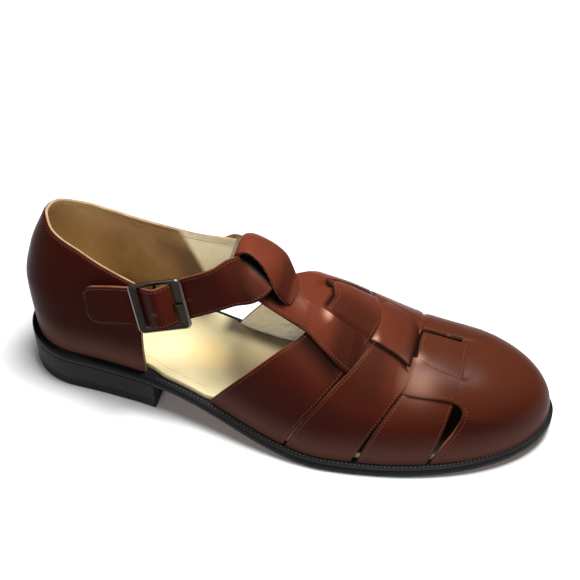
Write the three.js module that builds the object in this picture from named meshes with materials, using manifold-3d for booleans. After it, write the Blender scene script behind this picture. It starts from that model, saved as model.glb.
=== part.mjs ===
import * as THREE from 'three';
import { mergeVertices } from 'three/addons/utils/BufferGeometryUtils.js';
import Module from 'manifold-3d';

const wasm = await Module();
wasm.setup();

// A woven fisherman sandal for the right foot, standing on its sole, in millimetres.
// along: from the back of the heel to the tip of the toe. side: toward the inner edge of the foot.
const SHOE_LENGTH = 300;
const HEEL_ROUND = 34;
const HEEL_POWER = 2.1;
const END_TRIM = 0.1;

// Half widths of the sole on its two sides, and where each side starts to round toward the toe.
const OUTER_EDGE = [
  { along: 0, half: 31.8 }, { along: 40, half: 33.2 }, { along: 70, half: 36 },
  { along: 94, half: 40 }, { along: 110, half: 43.5 }, { along: 125, half: 47.5 },
  { along: 139, half: 51.5 }, { along: 155, half: 55.5 }, { along: 170, half: 58.2 },
  { along: 185, half: 59.3 }, { along: 300, half: 59.3 },
];
const INNER_EDGE = [
  { along: 0, half: 31.8 }, { along: 40, half: 32.7 }, { along: 60, half: 31 },
  { along: 80, half: 28 }, { along: 100, half: 25 }, { along: 120, half: 23.8 },
  { along: 139, half: 24.5 }, { along: 155, half: 28 }, { along: 170, half: 34 },
  { along: 185, half: 40.5 }, { along: 200, half: 44.3 }, { along: 300, half: 44.3 },
];
const OUTER_ROUND_FROM = 175;
const INNER_ROUND_FROM = 203;

// Heel, shank and toe spring of the sole.
const HEEL_HEIGHT = 18;
const HEEL_SLOPE = 0.03;
const BREAST = 83;
const SHANK_STEEPNESS = 1.6;
const FLAT_FROM = 182;
const FLAT_TO = 212;
const TOE_SPRING = 6.5;
const SPRING_POWER = 1.8;
const HEEL_TOP_THICK = 6;
const HEEL_JOINT = 0.2;
const RUBBER_CENTRE = 40;
const RUBBER_SWEEP = 0.2;

// Layers of the bottom, counted up from the underside of the outsole.
const OUTSOLE_TOP = 3.4;
const WELT_BOTTOM = 3.6;
const WELT_TOP = 5.6;
const WELT_WIDTH = 7.5;
const FEATHER_RISE = 5.9;
const INSOLE_BOTTOM = 3.7;
const INSOLE_TOP = 9;
const INSOLE_INSET = 7.8;

// Cross sections of the vamp: ridge height, where the ridge lies, and how square the section is.
const VAMP_INSET = 4;
const VAMP_SECTIONS = [
  { along: 100, ridge: 112, shift: -4, square: 2 },
  { along: 120, ridge: 105, shift: -4, square: 2.02 },
  { along: 140, ridge: 96.5, shift: -4, square: 2.04 },
  { along: 160, ridge: 87, shift: -3.7, square: 2.08 },
  { along: 180, ridge: 76, shift: -3.3, square: 2.14 },
  { along: 200, ridge: 62.4, shift: -3, square: 2.2 },
  { along: 220, ridge: 53.9, shift: -2.5, square: 2.25 },
  { along: 240, ridge: 50.1, shift: -2, square: 2.3 },
  { along: 262, ridge: 48.1, shift: -1.4, square: 2.3 },
  { along: 300, ridge: 44.7, shift: 0, square: 2.3 },
];
const TOE_FROM = 248;
const TOE_POWER = 2.55;
const TIP_FROM = 200;

// The woven straps. round: 0 on the ridge, 1 at the feather line where the wall meets the welt.
const STRAP_THICK = 2.2;
const LIFT_UNDER = -1;
const BAND_EDGES = [
  {
    round: 0, aRear: 179.5, aFront: 201.6, bRear: 203, bFront: 223.4,
    cRear: 224.5, cFront: 249.8, cap: 253,
  },
  {
    round: 0.15, aRear: 174.8, aFront: 198.8, bRear: 201.1, bFront: 224,
    cRear: 225, cFront: 250.2, cap: 253,
  },
  {
    round: 0.35, aRear: 166.8, aFront: 193, bRear: 195.2, bFront: 222,
    cRear: 223, cFront: 249.4, cap: 253,
  },
  {
    round: 0.5, aRear: 156.5, aFront: 187.2, bRear: 189, bFront: 217.4,
    cRear: 218.4, cFront: 247.6, cap: 252.4,
  },
  {
    round: 0.65, aRear: 145, aFront: 180, bRear: 181.6, bFront: 212.2,
    cRear: 213.4, cFront: 245.7, cap: 250.2,
  },
  {
    round: 0.85, aRear: 128.7, aFront: 168.3, bRear: 170.4, bFront: 204.5,
    cRear: 206.8, cFront: 242.2, cap: 245.6,
  },
  {
    round: 1, aRear: 116.5, aFront: 160, bRear: 162.6, bFront: 198.4,
    cRear: 202, cFront: 238.6, cap: 240.6,
  },
];
const WEAVE_ROUND = [
  { round: -1, a: -1, b: -1, c: -1 }, { round: -0.58, a: -1, b: -1, c: -1 },
  { round: -0.46, a: -1, b: 0.8, c: -1 }, { round: -0.28, a: -1, b: 0.8, c: -1 },
  { round: -0.22, a: -1, b: 0.8, c: 0.6 }, { round: -0.16, a: -1, b: -0.8, c: 0.8 },
  { round: -0.1, a: 0.8, b: -1, c: 0.8 }, { round: 0.06, a: 0.8, b: -1, c: 0.8 },
  { round: 0.1, a: -0.4, b: -0.9, c: 0.7 }, { round: 0.13, a: -1, b: 0, c: -0.4 },
  { round: 0.17, a: -1, b: 0.8, c: -1 }, { round: 0.46, a: -1, b: 0.8, c: -1 },
  { round: 0.58, a: -1, b: -1, c: -1 }, { round: 1, a: -1, b: -1, c: -1 },
];
const FINGER_EDGES = [
  { along: 160, outer: -0.318, outerSlit: -0.125, innerSlit: 0.07, inner: 0.1 },
  { along: 167, outer: -0.322, outerSlit: -0.125, innerSlit: 0.072, inner: 0.28 },
  { along: 177, outer: -0.365, outerSlit: -0.13, innerSlit: 0.075, inner: 0.32 },
  { along: 190, outer: -0.42, outerSlit: -0.142, innerSlit: 0.095, inner: 0.37 },
  { along: 200, outer: -0.43, outerSlit: -0.152, innerSlit: 0.115, inner: 0.41 },
  { along: 214, outer: -0.42, outerSlit: -0.18, innerSlit: 0.13, inner: 0.42 },
  { along: 225, outer: -0.415, outerSlit: -0.215, innerSlit: 0.14, inner: 0.42 },
  { along: 235, outer: -0.42, outerSlit: -0.2, innerSlit: 0.13, inner: 0.42 },
  { along: 246, outer: -0.455, outerSlit: -0.235, innerSlit: 0.11, inner: 0.45 },
  { along: 252, outer: -0.505, outerSlit: -0.25, innerSlit: 0.105, inner: 0.5 },
  { along: 262, outer: -0.56, outerSlit: -0.26, innerSlit: 0.1, inner: 0.56 },
];
const SLIT_HALF = 0.008;
const FINGER_FROM = 166;
const FINGER_TO = 261;
const WEAVE_ALONG = [
  { along: 150, sides: -1, centre: -1 }, { along: 160, sides: -0.6, centre: -1 },
  { along: 167, sides: 0.8, centre: -1 }, { along: 190, sides: 0.8, centre: -1 },
  { along: 198, sides: -1, centre: -1 }, { along: 203, sides: -1, centre: 0.8 },
  { along: 220, sides: -1, centre: 0.8 }, { along: 226, sides: 0.8, centre: -1 },
  { along: 250, sides: 0.8, centre: -1 }, { along: 261, sides: -1, centre: -1 },
];

// The centre bar and the loop that folds back over the ankle strap.
const BAR_EDGES = [
  { along: 129.5, outer: -0.18, inner: 0.16 }, { along: 134, outer: -0.25, inner: 0.16 },
  { along: 140, outer: -0.305, inner: 0.14 }, { along: 150, outer: -0.315, inner: 0.05 },
  { along: 155, outer: -0.317, inner: 0 }, { along: 159, outer: -0.318, inner: 0.08 },
  { along: 163, outer: -0.32, inner: 0.22 }, { along: 168, outer: -0.325, inner: 0.28 },
  { along: 174, outer: -0.35, inner: 0.31 },
];
const LOOP_THICK = 1.8;
const LOOP_FOLD = [
  { along: 134, lift: -1, outer: -0.24, inner: 0.16 },
  { along: 130.5, lift: -1, outer: -0.19, inner: 0.16 },
  { along: 128, lift: -0.2, outer: -0.15, inner: 0.16 },
  { along: 126.8, lift: 2, outer: -0.125, inner: 0.165 },
  { along: 127.3, lift: 4.6, outer: -0.115, inner: 0.17 },
  { along: 129.8, lift: 6.5, outer: -0.125, inner: 0.18 },
  { along: 135, lift: 7.2, outer: -0.165, inner: 0.2 },
  { along: 141.5, lift: 7, outer: -0.215, inner: 0.2 },
  { along: 148, lift: 5.8, outer: -0.242, inner: 0.17 },
  { along: 152, lift: 3.3, outer: -0.245, inner: 0.1 },
  { along: 155, lift: 1.2, outer: -0.24, inner: 0.03 },
  { along: 157.8, lift: 0.8, outer: -0.22, inner: -0.02 },
  { along: 159.8, lift: 0.8, outer: -0.16, inner: -0.08 },
];

// The heel counter. round: -1 on the outer side, 0 at the back, 1 on the inner side.
const COUNTER_INSET = 3.5;
const COUNTER_REACH = 105;
const COUNTER_THICK = 2.4;
const COUNTER_OUTER_FRONT = -0.855;
const COUNTER_INNER_FRONT = 0.965;
const INNER_FRONT_SLANT = 0.12;
const BACK_FADE = 70;
const LEAN_BASE = 32;
const COUNTER_LEAN = [
  { height: 0, back: 0, outer: 0, inner: 0 }, { height: 15, back: -0.6, outer: 0.45, inner: 0.45 },
  { height: 35, back: -1.4, outer: -1.7, inner: -0.8 }, { height: 55, back: 3.2, outer: -7, inner: -3.9 },
  { height: 75, back: 12.4, outer: -14, inner: -9 }, { height: 100, back: 27, outer: -20, inner: -14 },
];
const TOPLINE = [
  { round: -0.855, top: 81.8 }, { round: -0.71, top: 88.3 }, { round: -0.535, top: 96 },
  { round: -0.315, top: 101 }, { round: -0.13, top: 105.2 }, { round: 0.06, top: 105.6 },
  { round: 0.175, top: 103.8 }, { round: 0.435, top: 94.8 }, { round: 0.63, top: 89.6 },
  { round: 0.815, top: 87 }, { round: 0.93, top: 87.2 }, { round: 1.09, top: 91.5 },
];

// The buckle: a square frame with a centre bar, set level with the strap that runs through it.
const BUCKLE_CENTRE = new THREE.Vector3(90.3, -32, 77.4);
const BUCKLE_RUN = new THREE.Vector3(0.96, 0.15, 0.235).normalize();
const BUCKLE_RISE_HINT = new THREE.Vector3(-0.2, 0.29, 0.93);
const FRAME_LONG = 29.5;
const FRAME_HIGH = 29;
const FRAME_BAR = 3.7;
const FRAME_CORNER = 3;
const FRAME_WINDOW_CORNER = 1;
const FRAME_THICK = 2;
const CENTRE_BAR_R = 1.1;
const PRONG_R = 0.9;
const PRONG_WRAP_R = 2.3;
const PRONG_WRAP_DEGREES = [-75, -110, -145, 180, 145, 110, 75];
const PRONG_REACH = [
  { run: 1.7, out: 4.4 }, { run: 3.4, out: 6.3 }, { run: 8, out: 4.4 }, { run: 13.4, out: 2.15 },
];

// The ankle strap and the tab under it.
const ANKLE_WIDTH = 19.5;
const ANKLE_THICK = 2;
const ANKLE_TIP = 9.5;
const SPAN_WIDEST = 121;
const SPAN_REACH = 15;
const SPAN_WIDEN = 0.14;
const UNDER_BAR = -2.5;
const OVER_BAR = 4.7;
const PRONG_HOLE_R = 1.5;
const PRONG_HOLE_RUN = 1.7;
const PRONG_HOLE_TURN = -0.6;
const PRONG_HOLE_DEEP = 8;
const FREE_END_SPOTS = [
  { round: -0.645, z: 65.1, off: 2.4 }, { round: -0.705, z: 66.8, off: 3.5 },
  { round: -0.765, z: 69, off: 4 },
];
const BUCKLED_SPOTS = [
  { run: -15, out: UNDER_BAR }, { run: -10.8, out: UNDER_BAR }, { run: -5.5, out: 1.4 },
  { run: 0, out: OVER_BAR }, { run: 5.5, out: 1.4 }, { run: 10.8, out: UNDER_BAR },
  { run: 15, out: UNDER_BAR },
];
const OUTER_SPAN = { at: new THREE.Vector3(121.5, -26.5, 92.8), up: new THREE.Vector3(-0.6, 0.22, 0.76) };
const LOOPED_SPOTS = [
  { along: 137.5, round: -0.22, lift: 2.6 }, { along: 139.8, round: 0, lift: 2.3 },
  { along: 139.5, round: 0.25, lift: 2 },
];
const INNER_SPAN = { at: new THREE.Vector3(122.5, 20.3, 81.5), up: new THREE.Vector3(-0.5, -0.28, 0.82) };
const INNER_END_SPOTS = [
  { round: 1.03, z: 75.6, off: 1.6 }, { round: 0.93, z: 72.8, off: 1.5 }, { round: 0.84, z: 71.5, off: 1.5 },
  { round: 0.76, z: 70.5, off: 1.5 },
];
const TAB_WIDTH = 16;
const TAB_THICK = 1.4;
const TAB_WRAP_R = 2.1;
const TAB_SLOT = 5.2;
const TAB_WRAP_DEGREES = [-75, -40, -5, 30, 65, 100, 135, 160];
const TAB_SEWN_SPOTS = [
  { round: -0.7, z: 67, off: 1.3 }, { round: -0.74, z: 68.2, off: 1.4 }, { round: -0.78, z: 69.5, off: 1.4 },
  { round: -0.81, z: 70.6, off: 1.6 },
];
const TAB_RUN_SPOTS = [{ run: -8.5, out: -4.4 }, { run: -5.5, out: -3.9 }, { run: -2.6, out: -2.8 }];

// Smooth monotone curve through one column of a table.
function curve(rows, across, value) {
  const x = rows.map((row) => row[across]);
  const y = rows.map((row) => row[value]);
  const last = x.length - 1;
  const step = x.slice(1).map((right, k) => right - x[k]);
  const rise = step.map((width, k) => (y[k + 1] - y[k]) / width);
  const slope = x.map((_, k) => {
    if (k === 0 || k === last) {
      return k === 0 ? rise[0] : rise[last - 1];
    }
    if (rise[k - 1] * rise[k] <= 0) {
      return 0;
    }
    const before = 2 * step[k] + step[k - 1];
    const after = step[k] + 2 * step[k - 1];
    return (before + after) / (before / rise[k - 1] + after / rise[k]);
  });
  return (at) => {
    const t = Math.min(Math.max(at, x[0]), x[last]);
    let k = 0;
    while (k < last - 1 && t > x[k + 1]) {
      k += 1;
    }
    const f = (t - x[k]) / step[k];
    const g = 1 - f;
    return y[k] * (1 + 2 * f) * g * g + y[k + 1] * (3 - 2 * f) * f * f
      + step[k] * f * g * (slope[k] * g - slope[k + 1] * f);
  };
}

const clamp01 = (value) => Math.min(Math.max(value, 0), 1);
const outerEdge = curve(OUTER_EDGE, 'along', 'half');
const innerEdge = curve(INNER_EDGE, 'along', 'half');

// Half width of the sole's outline on one side, drawn in by an inset.
function halfWidth(along, outer, inset) {
  const base = (outer ? outerEdge : innerEdge)(along) - inset;
  const roundFrom = outer ? OUTER_ROUND_FROM : INNER_ROUND_FROM;
  const heel = clamp01(1 - (along - inset) / (HEEL_ROUND - inset));
  const toe = clamp01((along - roundFrom) / (SHOE_LENGTH - inset - roundFrom));
  return base * (1 - heel ** HEEL_POWER) ** (1 / HEEL_POWER) * Math.sqrt(1 - toe * toe);
}

// Height of the outsole's underside.
function underside(along) {
  if (along < BREAST) {
    return HEEL_HEIGHT + HEEL_SLOPE * (BREAST - along);
  }
  if (along > FLAT_TO) {
    return TOE_SPRING * ((along - FLAT_TO) / (SHOE_LENGTH - FLAT_TO)) ** SPRING_POWER;
  }
  const run = FLAT_FROM - BREAST;
  const t = clamp01((along - BREAST) / run);
  const start = -HEEL_SLOPE * SHANK_STEEPNESS * run;
  return (2 * t ** 3 - 3 * t ** 2 + 1) * HEEL_HEIGHT + (t ** 3 - 2 * t ** 2 + t) * start;
}

const ridgeHeight = curve(VAMP_SECTIONS, 'along', 'ridge');
const ridgeShift = curve(VAMP_SECTIONS, 'along', 'shift');
const sectionSquare = curve(VAMP_SECTIONS, 'along', 'square');

// A point on the outer face of the vamp.
function vampPoint(along, round) {
  const tipAt = SHOE_LENGTH - VAMP_INSET;
  const foot = underside(along) + FEATHER_RISE;
  const toe = clamp01((along - TOE_FROM) / (tipAt - TOE_FROM));
  const high = (ridgeHeight(along) - foot) * (1 - toe ** TOE_POWER) ** (1 / TOE_POWER);
  const tip = clamp01((along - TIP_FROM) / (tipAt - TIP_FROM));
  const crest = ridgeShift(along) * Math.sqrt(1 - tip * tip);
  const edge = round < 0 ? -halfWidth(along, true, VAMP_INSET) : halfWidth(along, false, VAMP_INSET);
  const angle = (1 - Math.abs(round)) * Math.PI / 2;
  const power = 2 / sectionSquare(along);
  const side = crest + (edge - crest) * Math.max(Math.cos(angle), 0) ** power;
  return new THREE.Vector3(along, side, foot + high * Math.sin(angle) ** power);
}

function vampNormal(along, round) {
  const tipAt = SHOE_LENGTH - VAMP_INSET;
  if (along > tipAt - 0.05) {
    return new THREE.Vector3(1, 0, 0);
  }
  const ahead = vampPoint(Math.min(along + 0.3, tipAt - 0.01), round).sub(vampPoint(along - 0.3, round));
  const over = vampPoint(along, Math.min(round + 0.01, 1)).sub(vampPoint(along, Math.max(round - 0.01, -1)));
  return ahead.cross(over).normalize();
}

function onVamp(along, round, lift) {
  return vampPoint(along, round).addScaledVector(vampNormal(along, round), lift);
}

const leanBack = curve(COUNTER_LEAN, 'height', 'back');
const leanOuter = curve(COUNTER_LEAN, 'height', 'outer');
const leanInner = curve(COUNTER_LEAN, 'height', 'inner');

// A point on the outer face of the heel counter.
function counterPoint(round, z) {
  const along = COUNTER_INSET + (COUNTER_REACH - COUNTER_INSET) * round * round;
  const height = Math.max(z - underside(along) - FEATHER_RISE, 0);
  const fade = 1 - clamp01(along / BACK_FADE);
  const back = leanBack(height) * fade * fade * (3 - 2 * fade);
  const lean = 1 + (round < 0 ? leanOuter : leanInner)(height) / LEAN_BASE;
  const half = halfWidth(along, round < 0, COUNTER_INSET) * lean;
  return new THREE.Vector3(along + back, round < 0 ? -half : half, z);
}

function counterRise(round, z) {
  return counterPoint(round, z + 0.5).sub(counterPoint(round, z - 0.5)).normalize();
}

function counterNormal(round, z) {
  const forward = counterPoint(round + 0.005, z).sub(counterPoint(round - 0.005, z));
  return counterRise(round, z).cross(forward).normalize();
}

// One closed surface from points and triangles: equal points are joined and the outside is turned out.
function closedGeometry(points, faces) {
  const index = new Map();
  const kept = [];
  const joined = points.map((point) => {
    const key = [point.x, point.y, point.z].map((value) => Math.round(value * 1e4)).join();
    if (!index.has(key)) {
      index.set(key, kept.length);
      kept.push(point);
    }
    return index.get(key);
  });
  let triangles = faces.map((face) => face.map((corner) => joined[corner]));
  triangles = triangles.filter(([a, b, c]) => a !== b && b !== c && c !== a);
  const volume = triangles.reduce((sum, [a, b, c]) => sum + kept[a].dot(kept[b].clone().cross(kept[c])), 0);
  if (volume < 0) {
    triangles.forEach((face) => face.reverse());
  }
  const geometry = new THREE.BufferGeometry().setFromPoints(kept);
  geometry.setIndex(triangles.flat());
  return geometry;
}

// A wall between an outer and an inner grid of points.
function wall(outer, inner) {
  const rows = outer.length;
  const columns = outer[0].length;
  const points = outer.flat().concat(inner.flat());
  const faces = [];
  const at = (layer, i, j) => (layer * rows + i) * columns + j;
  const quad = (a, b, c, d) => faces.push([a, b, c], [a, c, d]);
  for (let i = 0; i < rows - 1; i += 1) {
    for (let j = 0; j < columns - 1; j += 1) {
      quad(at(0, i, j), at(0, i + 1, j), at(0, i + 1, j + 1), at(0, i, j + 1));
      quad(at(1, i, j), at(1, i, j + 1), at(1, i + 1, j + 1), at(1, i + 1, j));
    }
    quad(at(0, i, 0), at(1, i, 0), at(1, i + 1, 0), at(0, i + 1, 0));
    quad(at(0, i, columns - 1), at(0, i + 1, columns - 1), at(1, i + 1, columns - 1), at(1, i, columns - 1));
  }
  for (let j = 0; j < columns - 1; j += 1) {
    quad(at(0, 0, j), at(0, 0, j + 1), at(1, 0, j + 1), at(1, 0, j));
    quad(at(0, rows - 1, j), at(1, rows - 1, j), at(1, rows - 1, j + 1), at(0, rows - 1, j + 1));
  }
  return closedGeometry(points, faces);
}

function toManifold(geometry) {
  const bare = geometry.clone();
  bare.deleteAttribute('normal');
  bare.deleteAttribute('uv');
  const merged = mergeVertices(bare, 1e-4);
  const vertProperties = new Float32Array(merged.attributes.position.array);
  const triVerts = new Uint32Array(merged.index.array);
  return new wasm.Manifold(new wasm.Mesh({ numProp: 3, vertProperties, triVerts }));
}

function fromManifold(solid) {
  const mesh = solid.getMesh();
  const geometry = new THREE.BufferGeometry();
  geometry.setAttribute('position', new THREE.BufferAttribute(mesh.vertProperties, 3));
  geometry.setIndex(new THREE.BufferAttribute(mesh.triVerts, 1));
  return geometry;
}

const joinAll = (geometries) => fromManifold(geometries.map(toManifold).reduce((a, b) => a.add(b)));

// Stations through the given values, with the long spaces between them divided.
function stations(values, longest) {
  const list = [values[0]];
  values.slice(1).forEach((next) => {
    const from = list[list.length - 1];
    const count = Math.max(1, Math.ceil((next - from) / longest - 1e-6));
    for (let k = 1; k <= count; k += 1) {
      list.push(from + (next - from) * k / count);
    }
  });
  return list;
}

const spread = (count) => Array.from({ length: count + 1 }, (_, k) => k / count);
const mix = (a, b, t) => a + (b - a) * t;

// Stations along the sole, closer together at its round ends.
const LENGTH_STATIONS = 60;
function lengthStations(inset) {
  const from = inset + END_TRIM;
  const to = SHOE_LENGTH - inset - END_TRIM;
  return spread(LENGTH_STATIONS).map((t) => mix(from, to, (1 - Math.cos(Math.PI * t)) / 2));
}

// A layer of the bottom between two heights over a run of stations.
function layer(run, inset, bottom, top) {
  const face = (height) => run.map((along) => [
    new THREE.Vector3(along, -halfWidth(along, true, inset), height(along)),
    new THREE.Vector3(along, halfWidth(along, false, inset), height(along)),
  ]);
  return wall(face(top), face(bottom));
}

function outsoleGeometry() {
  return layer(lengthStations(0), 0, underside, (along) => underside(along) + OUTSOLE_TOP);
}

function insoleGeometry() {
  const bottom = (along) => underside(along) + INSOLE_BOTTOM;
  return layer(lengthStations(INSOLE_INSET), INSOLE_INSET, bottom, (along) => underside(along) + INSOLE_TOP);
}

function weltGeometry() {
  const rim = (inset, rise) => {
    const run = lengthStations(inset);
    const spot = (along, side) => new THREE.Vector3(along, side, underside(along) + rise);
    const outer = run.map((along) => spot(along, -halfWidth(along, true, inset)));
    const inner = run.map((along) => spot(along, halfWidth(along, false, inset)));
    const loop = outer.concat(inner.reverse());
    return loop.concat([loop[0]]);
  };
  const rings = [
    rim(0, WELT_BOTTOM), rim(0, WELT_TOP), rim(WELT_WIDTH, WELT_TOP), rim(WELT_WIDTH, WELT_BOTTOM),
  ];
  const count = rings[0].length;
  const faces = [];
  rings.forEach((_, r) => {
    const next = (r + 1) % rings.length;
    for (let k = 0; k < count - 1; k += 1) {
      const [a, b, c, d] = [r * count + k, r * count + k + 1, next * count + k + 1, next * count + k];
      faces.push([a, b, c], [a, c, d]);
    }
  });
  return closedGeometry(rings.flat(), faces);
}

// The heel: a block under the seat, and a walking face in two pieces with a V joint.
const heelStations = () => spread(20).map((t) => mix(END_TRIM, BREAST, 1 - Math.cos(Math.PI / 2 * t)));

function heelBlockGeometry() {
  const bottom = () => HEEL_TOP_THICK + HEEL_JOINT;
  return layer(heelStations(), 0, bottom, (along) => underside(along) - HEEL_JOINT);
}

// The rear part of the walking face, as a block that ends in the V of the joint.
function heelJointBlock(shift) {
  const reach = 2 * HEEL_ROUND;
  const apex = RUBBER_CENTRE + shift;
  const wing = apex + RUBBER_SWEEP * reach;
  const outline = new THREE.Shape([
    new THREE.Vector2(-reach, -reach), new THREE.Vector2(wing, -reach), new THREE.Vector2(apex, 0),
    new THREE.Vector2(wing, reach), new THREE.Vector2(-reach, reach),
  ]);
  const block = new THREE.ExtrudeGeometry(outline, { depth: 3 * HEEL_TOP_THICK, bevelEnabled: false });
  return block.translate(0, 0, -HEEL_TOP_THICK);
}

function heelTopGeometry(rubber) {
  const face = toManifold(layer(heelStations(), 0, () => 0, () => HEEL_TOP_THICK));
  const rear = toManifold(heelJointBlock(rubber ? 0 : HEEL_JOINT));
  return fromManifold(rubber ? face.intersect(rear) : face.subtract(rear));
}

// The vamp's straps: all share the inner face, and the outer face rises where a strap lies on top.
function strip(firsts, seconds, place) {
  const grid = (height) => firsts.map((p) => seconds.map((q) => {
    const { along, round, lift } = place(p, q);
    return onVamp(along, round, height(lift));
  }));
  return wall(grid((lift) => lift + STRAP_THICK / 2), grid(() => LIFT_UNDER - STRAP_THICK / 2));
}

function bandGeometry(name) {
  const rear = curve(BAND_EDGES, 'round', `${name}Rear`);
  const front = curve(BAND_EDGES, 'round', `${name}Front`);
  const lift = curve(WEAVE_ROUND, 'round', name);
  const rounds = stations(WEAVE_ROUND.map((row) => row.round), 0.105);
  return strip(rounds, spread(3), (round, t) => ({
    along: mix(rear(Math.abs(round)), front(Math.abs(round)), t), round, lift: lift(round),
  }));
}

function fingerGeometry(from, to, fromGap, toGap, weave) {
  const low = curve(FINGER_EDGES, 'along', from);
  const high = curve(FINGER_EDGES, 'along', to);
  const lift = curve(WEAVE_ALONG, 'along', weave);
  const marks = WEAVE_ALONG.map((row) => row.along);
  const inside = marks.filter((along) => along > FINGER_FROM && along < FINGER_TO);
  const run = stations([FINGER_FROM, ...inside, FINGER_TO], 8);
  return strip(run, spread(3), (along, t) => ({
    along, round: mix(low(along) + fromGap, high(along) - toGap, t), lift: lift(along),
  }));
}

function toeCapGeometry() {
  const rear = curve(BAND_EDGES, 'round', 'cap');
  const tipAt = SHOE_LENGTH - VAMP_INSET;
  return strip(spread(10), spread(24).map((t) => 2 * t - 1), (t, round) => ({
    along: mix(rear(Math.abs(round)), tipAt, Math.sin(Math.PI / 2 * t)), round, lift: LIFT_UNDER,
  }));
}

function centreBarGeometry() {
  const outer = curve(BAR_EDGES, 'along', 'outer');
  const inner = curve(BAR_EDGES, 'along', 'inner');
  const run = stations(BAR_EDGES.map((row) => row.along), 5);
  return strip(run, spread(3), (along, t) => ({
    along, round: mix(outer(along), inner(along), t), lift: LIFT_UNDER,
  }));
}

// A band of leather along a path of points, each with the direction of its width.
function ribbon(path, width, thick) {
  const grid = (half) => path.map(({ at, up, narrow }, k) => {
    const next = path[Math.min(k + 1, path.length - 1)].at;
    const run = next.clone().sub(path[Math.max(k - 1, 0)].at).normalize();
    const rise = up.clone().addScaledVector(run, -up.dot(run)).normalize();
    const out = rise.clone().cross(run).normalize();
    return [-0.5, -0.17, 0.17, 0.5].map((t) => at.clone()
      .addScaledVector(rise, t * width * (narrow ?? 1)).addScaledVector(out, half));
  });
  return wall(grid(thick / 2), grid(-thick / 2));
}

function loopGeometry() {
  const column = (half) => LOOP_FOLD.map((row, k) => {
    const before = LOOP_FOLD[Math.max(k - 1, 0)];
    const after = LOOP_FOLD[Math.min(k + 1, LOOP_FOLD.length - 1)];
    return spread(4).map((t) => {
      const round = mix(row.outer, row.inner, t);
      const spot = (fold) => onVamp(fold.along, round, fold.lift);
      const run = spot(after).sub(spot(before)).normalize();
      const over = vampPoint(row.along, round + 0.01).sub(vampPoint(row.along, round - 0.01)).normalize();
      return spot(row).addScaledVector(run.cross(over).normalize(), half);
    });
  });
  return wall(column(LOOP_THICK / 2), column(-LOOP_THICK / 2));
}

function vampGeometry() {
  return joinAll([
    toeCapGeometry(),
    bandGeometry('a'),
    bandGeometry('b'),
    bandGeometry('c'),
    fingerGeometry('outer', 'outerSlit', 0, SLIT_HALF, 'sides'),
    fingerGeometry('outerSlit', 'innerSlit', SLIT_HALF, SLIT_HALF, 'centre'),
    fingerGeometry('innerSlit', 'inner', SLIT_HALF, 0, 'sides'),
    centreBarGeometry(),
    loopGeometry(),
  ]);
}

function quarterGeometry() {
  const top = curve(TOPLINE, 'round', 'top');
  const rounds = stations([COUNTER_OUTER_FRONT, -0.5, -0.2, 0, 0.2, 0.5, COUNTER_INNER_FRONT], 0.065);
  const slant = (round, t) => Math.max(round, round * (1 + INNER_FRONT_SLANT * t * clamp01(2 * round - 1)));
  const grid = (depth) => rounds.map((straight) => spread(7).map((t) => {
    const round = slant(straight, t);
    const along = COUNTER_INSET + (COUNTER_REACH - COUNTER_INSET) * round * round;
    const z = mix(underside(along) + FEATHER_RISE, top(round), t);
    const normal = counterNormal(round, Math.max(z, underside(along) + FEATHER_RISE + 0.6));
    return counterPoint(round, z).addScaledVector(normal, -depth);
  }));
  return wall(grid(0), grid(COUNTER_THICK));
}

// Places in the buckle: run along the strap, rise across it, out away from the foot.
const RISE_ON_RUN = BUCKLE_RISE_HINT.dot(BUCKLE_RUN);
const BUCKLE_RISE = BUCKLE_RISE_HINT.clone().addScaledVector(BUCKLE_RUN, -RISE_ON_RUN).normalize();
const BUCKLE_OUT = BUCKLE_RUN.clone().cross(BUCKLE_RISE).normalize();
const inBuckle = (run, rise, out) => BUCKLE_CENTRE.clone().addScaledVector(BUCKLE_RUN, run)
  .addScaledVector(BUCKLE_RISE, rise).addScaledVector(BUCKLE_OUT, out);
const BUCKLE_FRAME = new THREE.Matrix4().makeBasis(BUCKLE_RUN, BUCKLE_RISE, BUCKLE_OUT);
BUCKLE_FRAME.setPosition(BUCKLE_CENTRE);

const counterSpot = ({ round, z, off }) => ({
  at: counterPoint(round, z).addScaledVector(counterNormal(round, z), off), up: counterRise(round, z),
});
const vampSpot = ({ along, round, lift }) => ({
  at: onVamp(along, round, lift),
  up: vampPoint(along - 1, round).sub(vampPoint(along + 1, round)).normalize(),
});
const buckleSpot = ({ run, out }) => ({ at: inBuckle(run, 0, out), up: BUCKLE_RISE.clone() });
const freeSpot = ({ at, up }) => ({ at: at.clone(), up: up.clone().normalize() });

// A smooth run through the given places, with its width turning evenly between them.
function smoothPath(places, perSpan) {
  const line = new THREE.CatmullRomCurve3(places.map((place) => place.at), false, 'centripetal');
  const count = (places.length - 1) * perSpan;
  return spread(count).map((t) => {
    const k = Math.min(Math.floor(t * (places.length - 1)), places.length - 2);
    const f = t * (places.length - 1) - k;
    return { at: line.getPoint(t), up: places[k].up.clone().lerp(places[k + 1].up, f).normalize() };
  });
}

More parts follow.
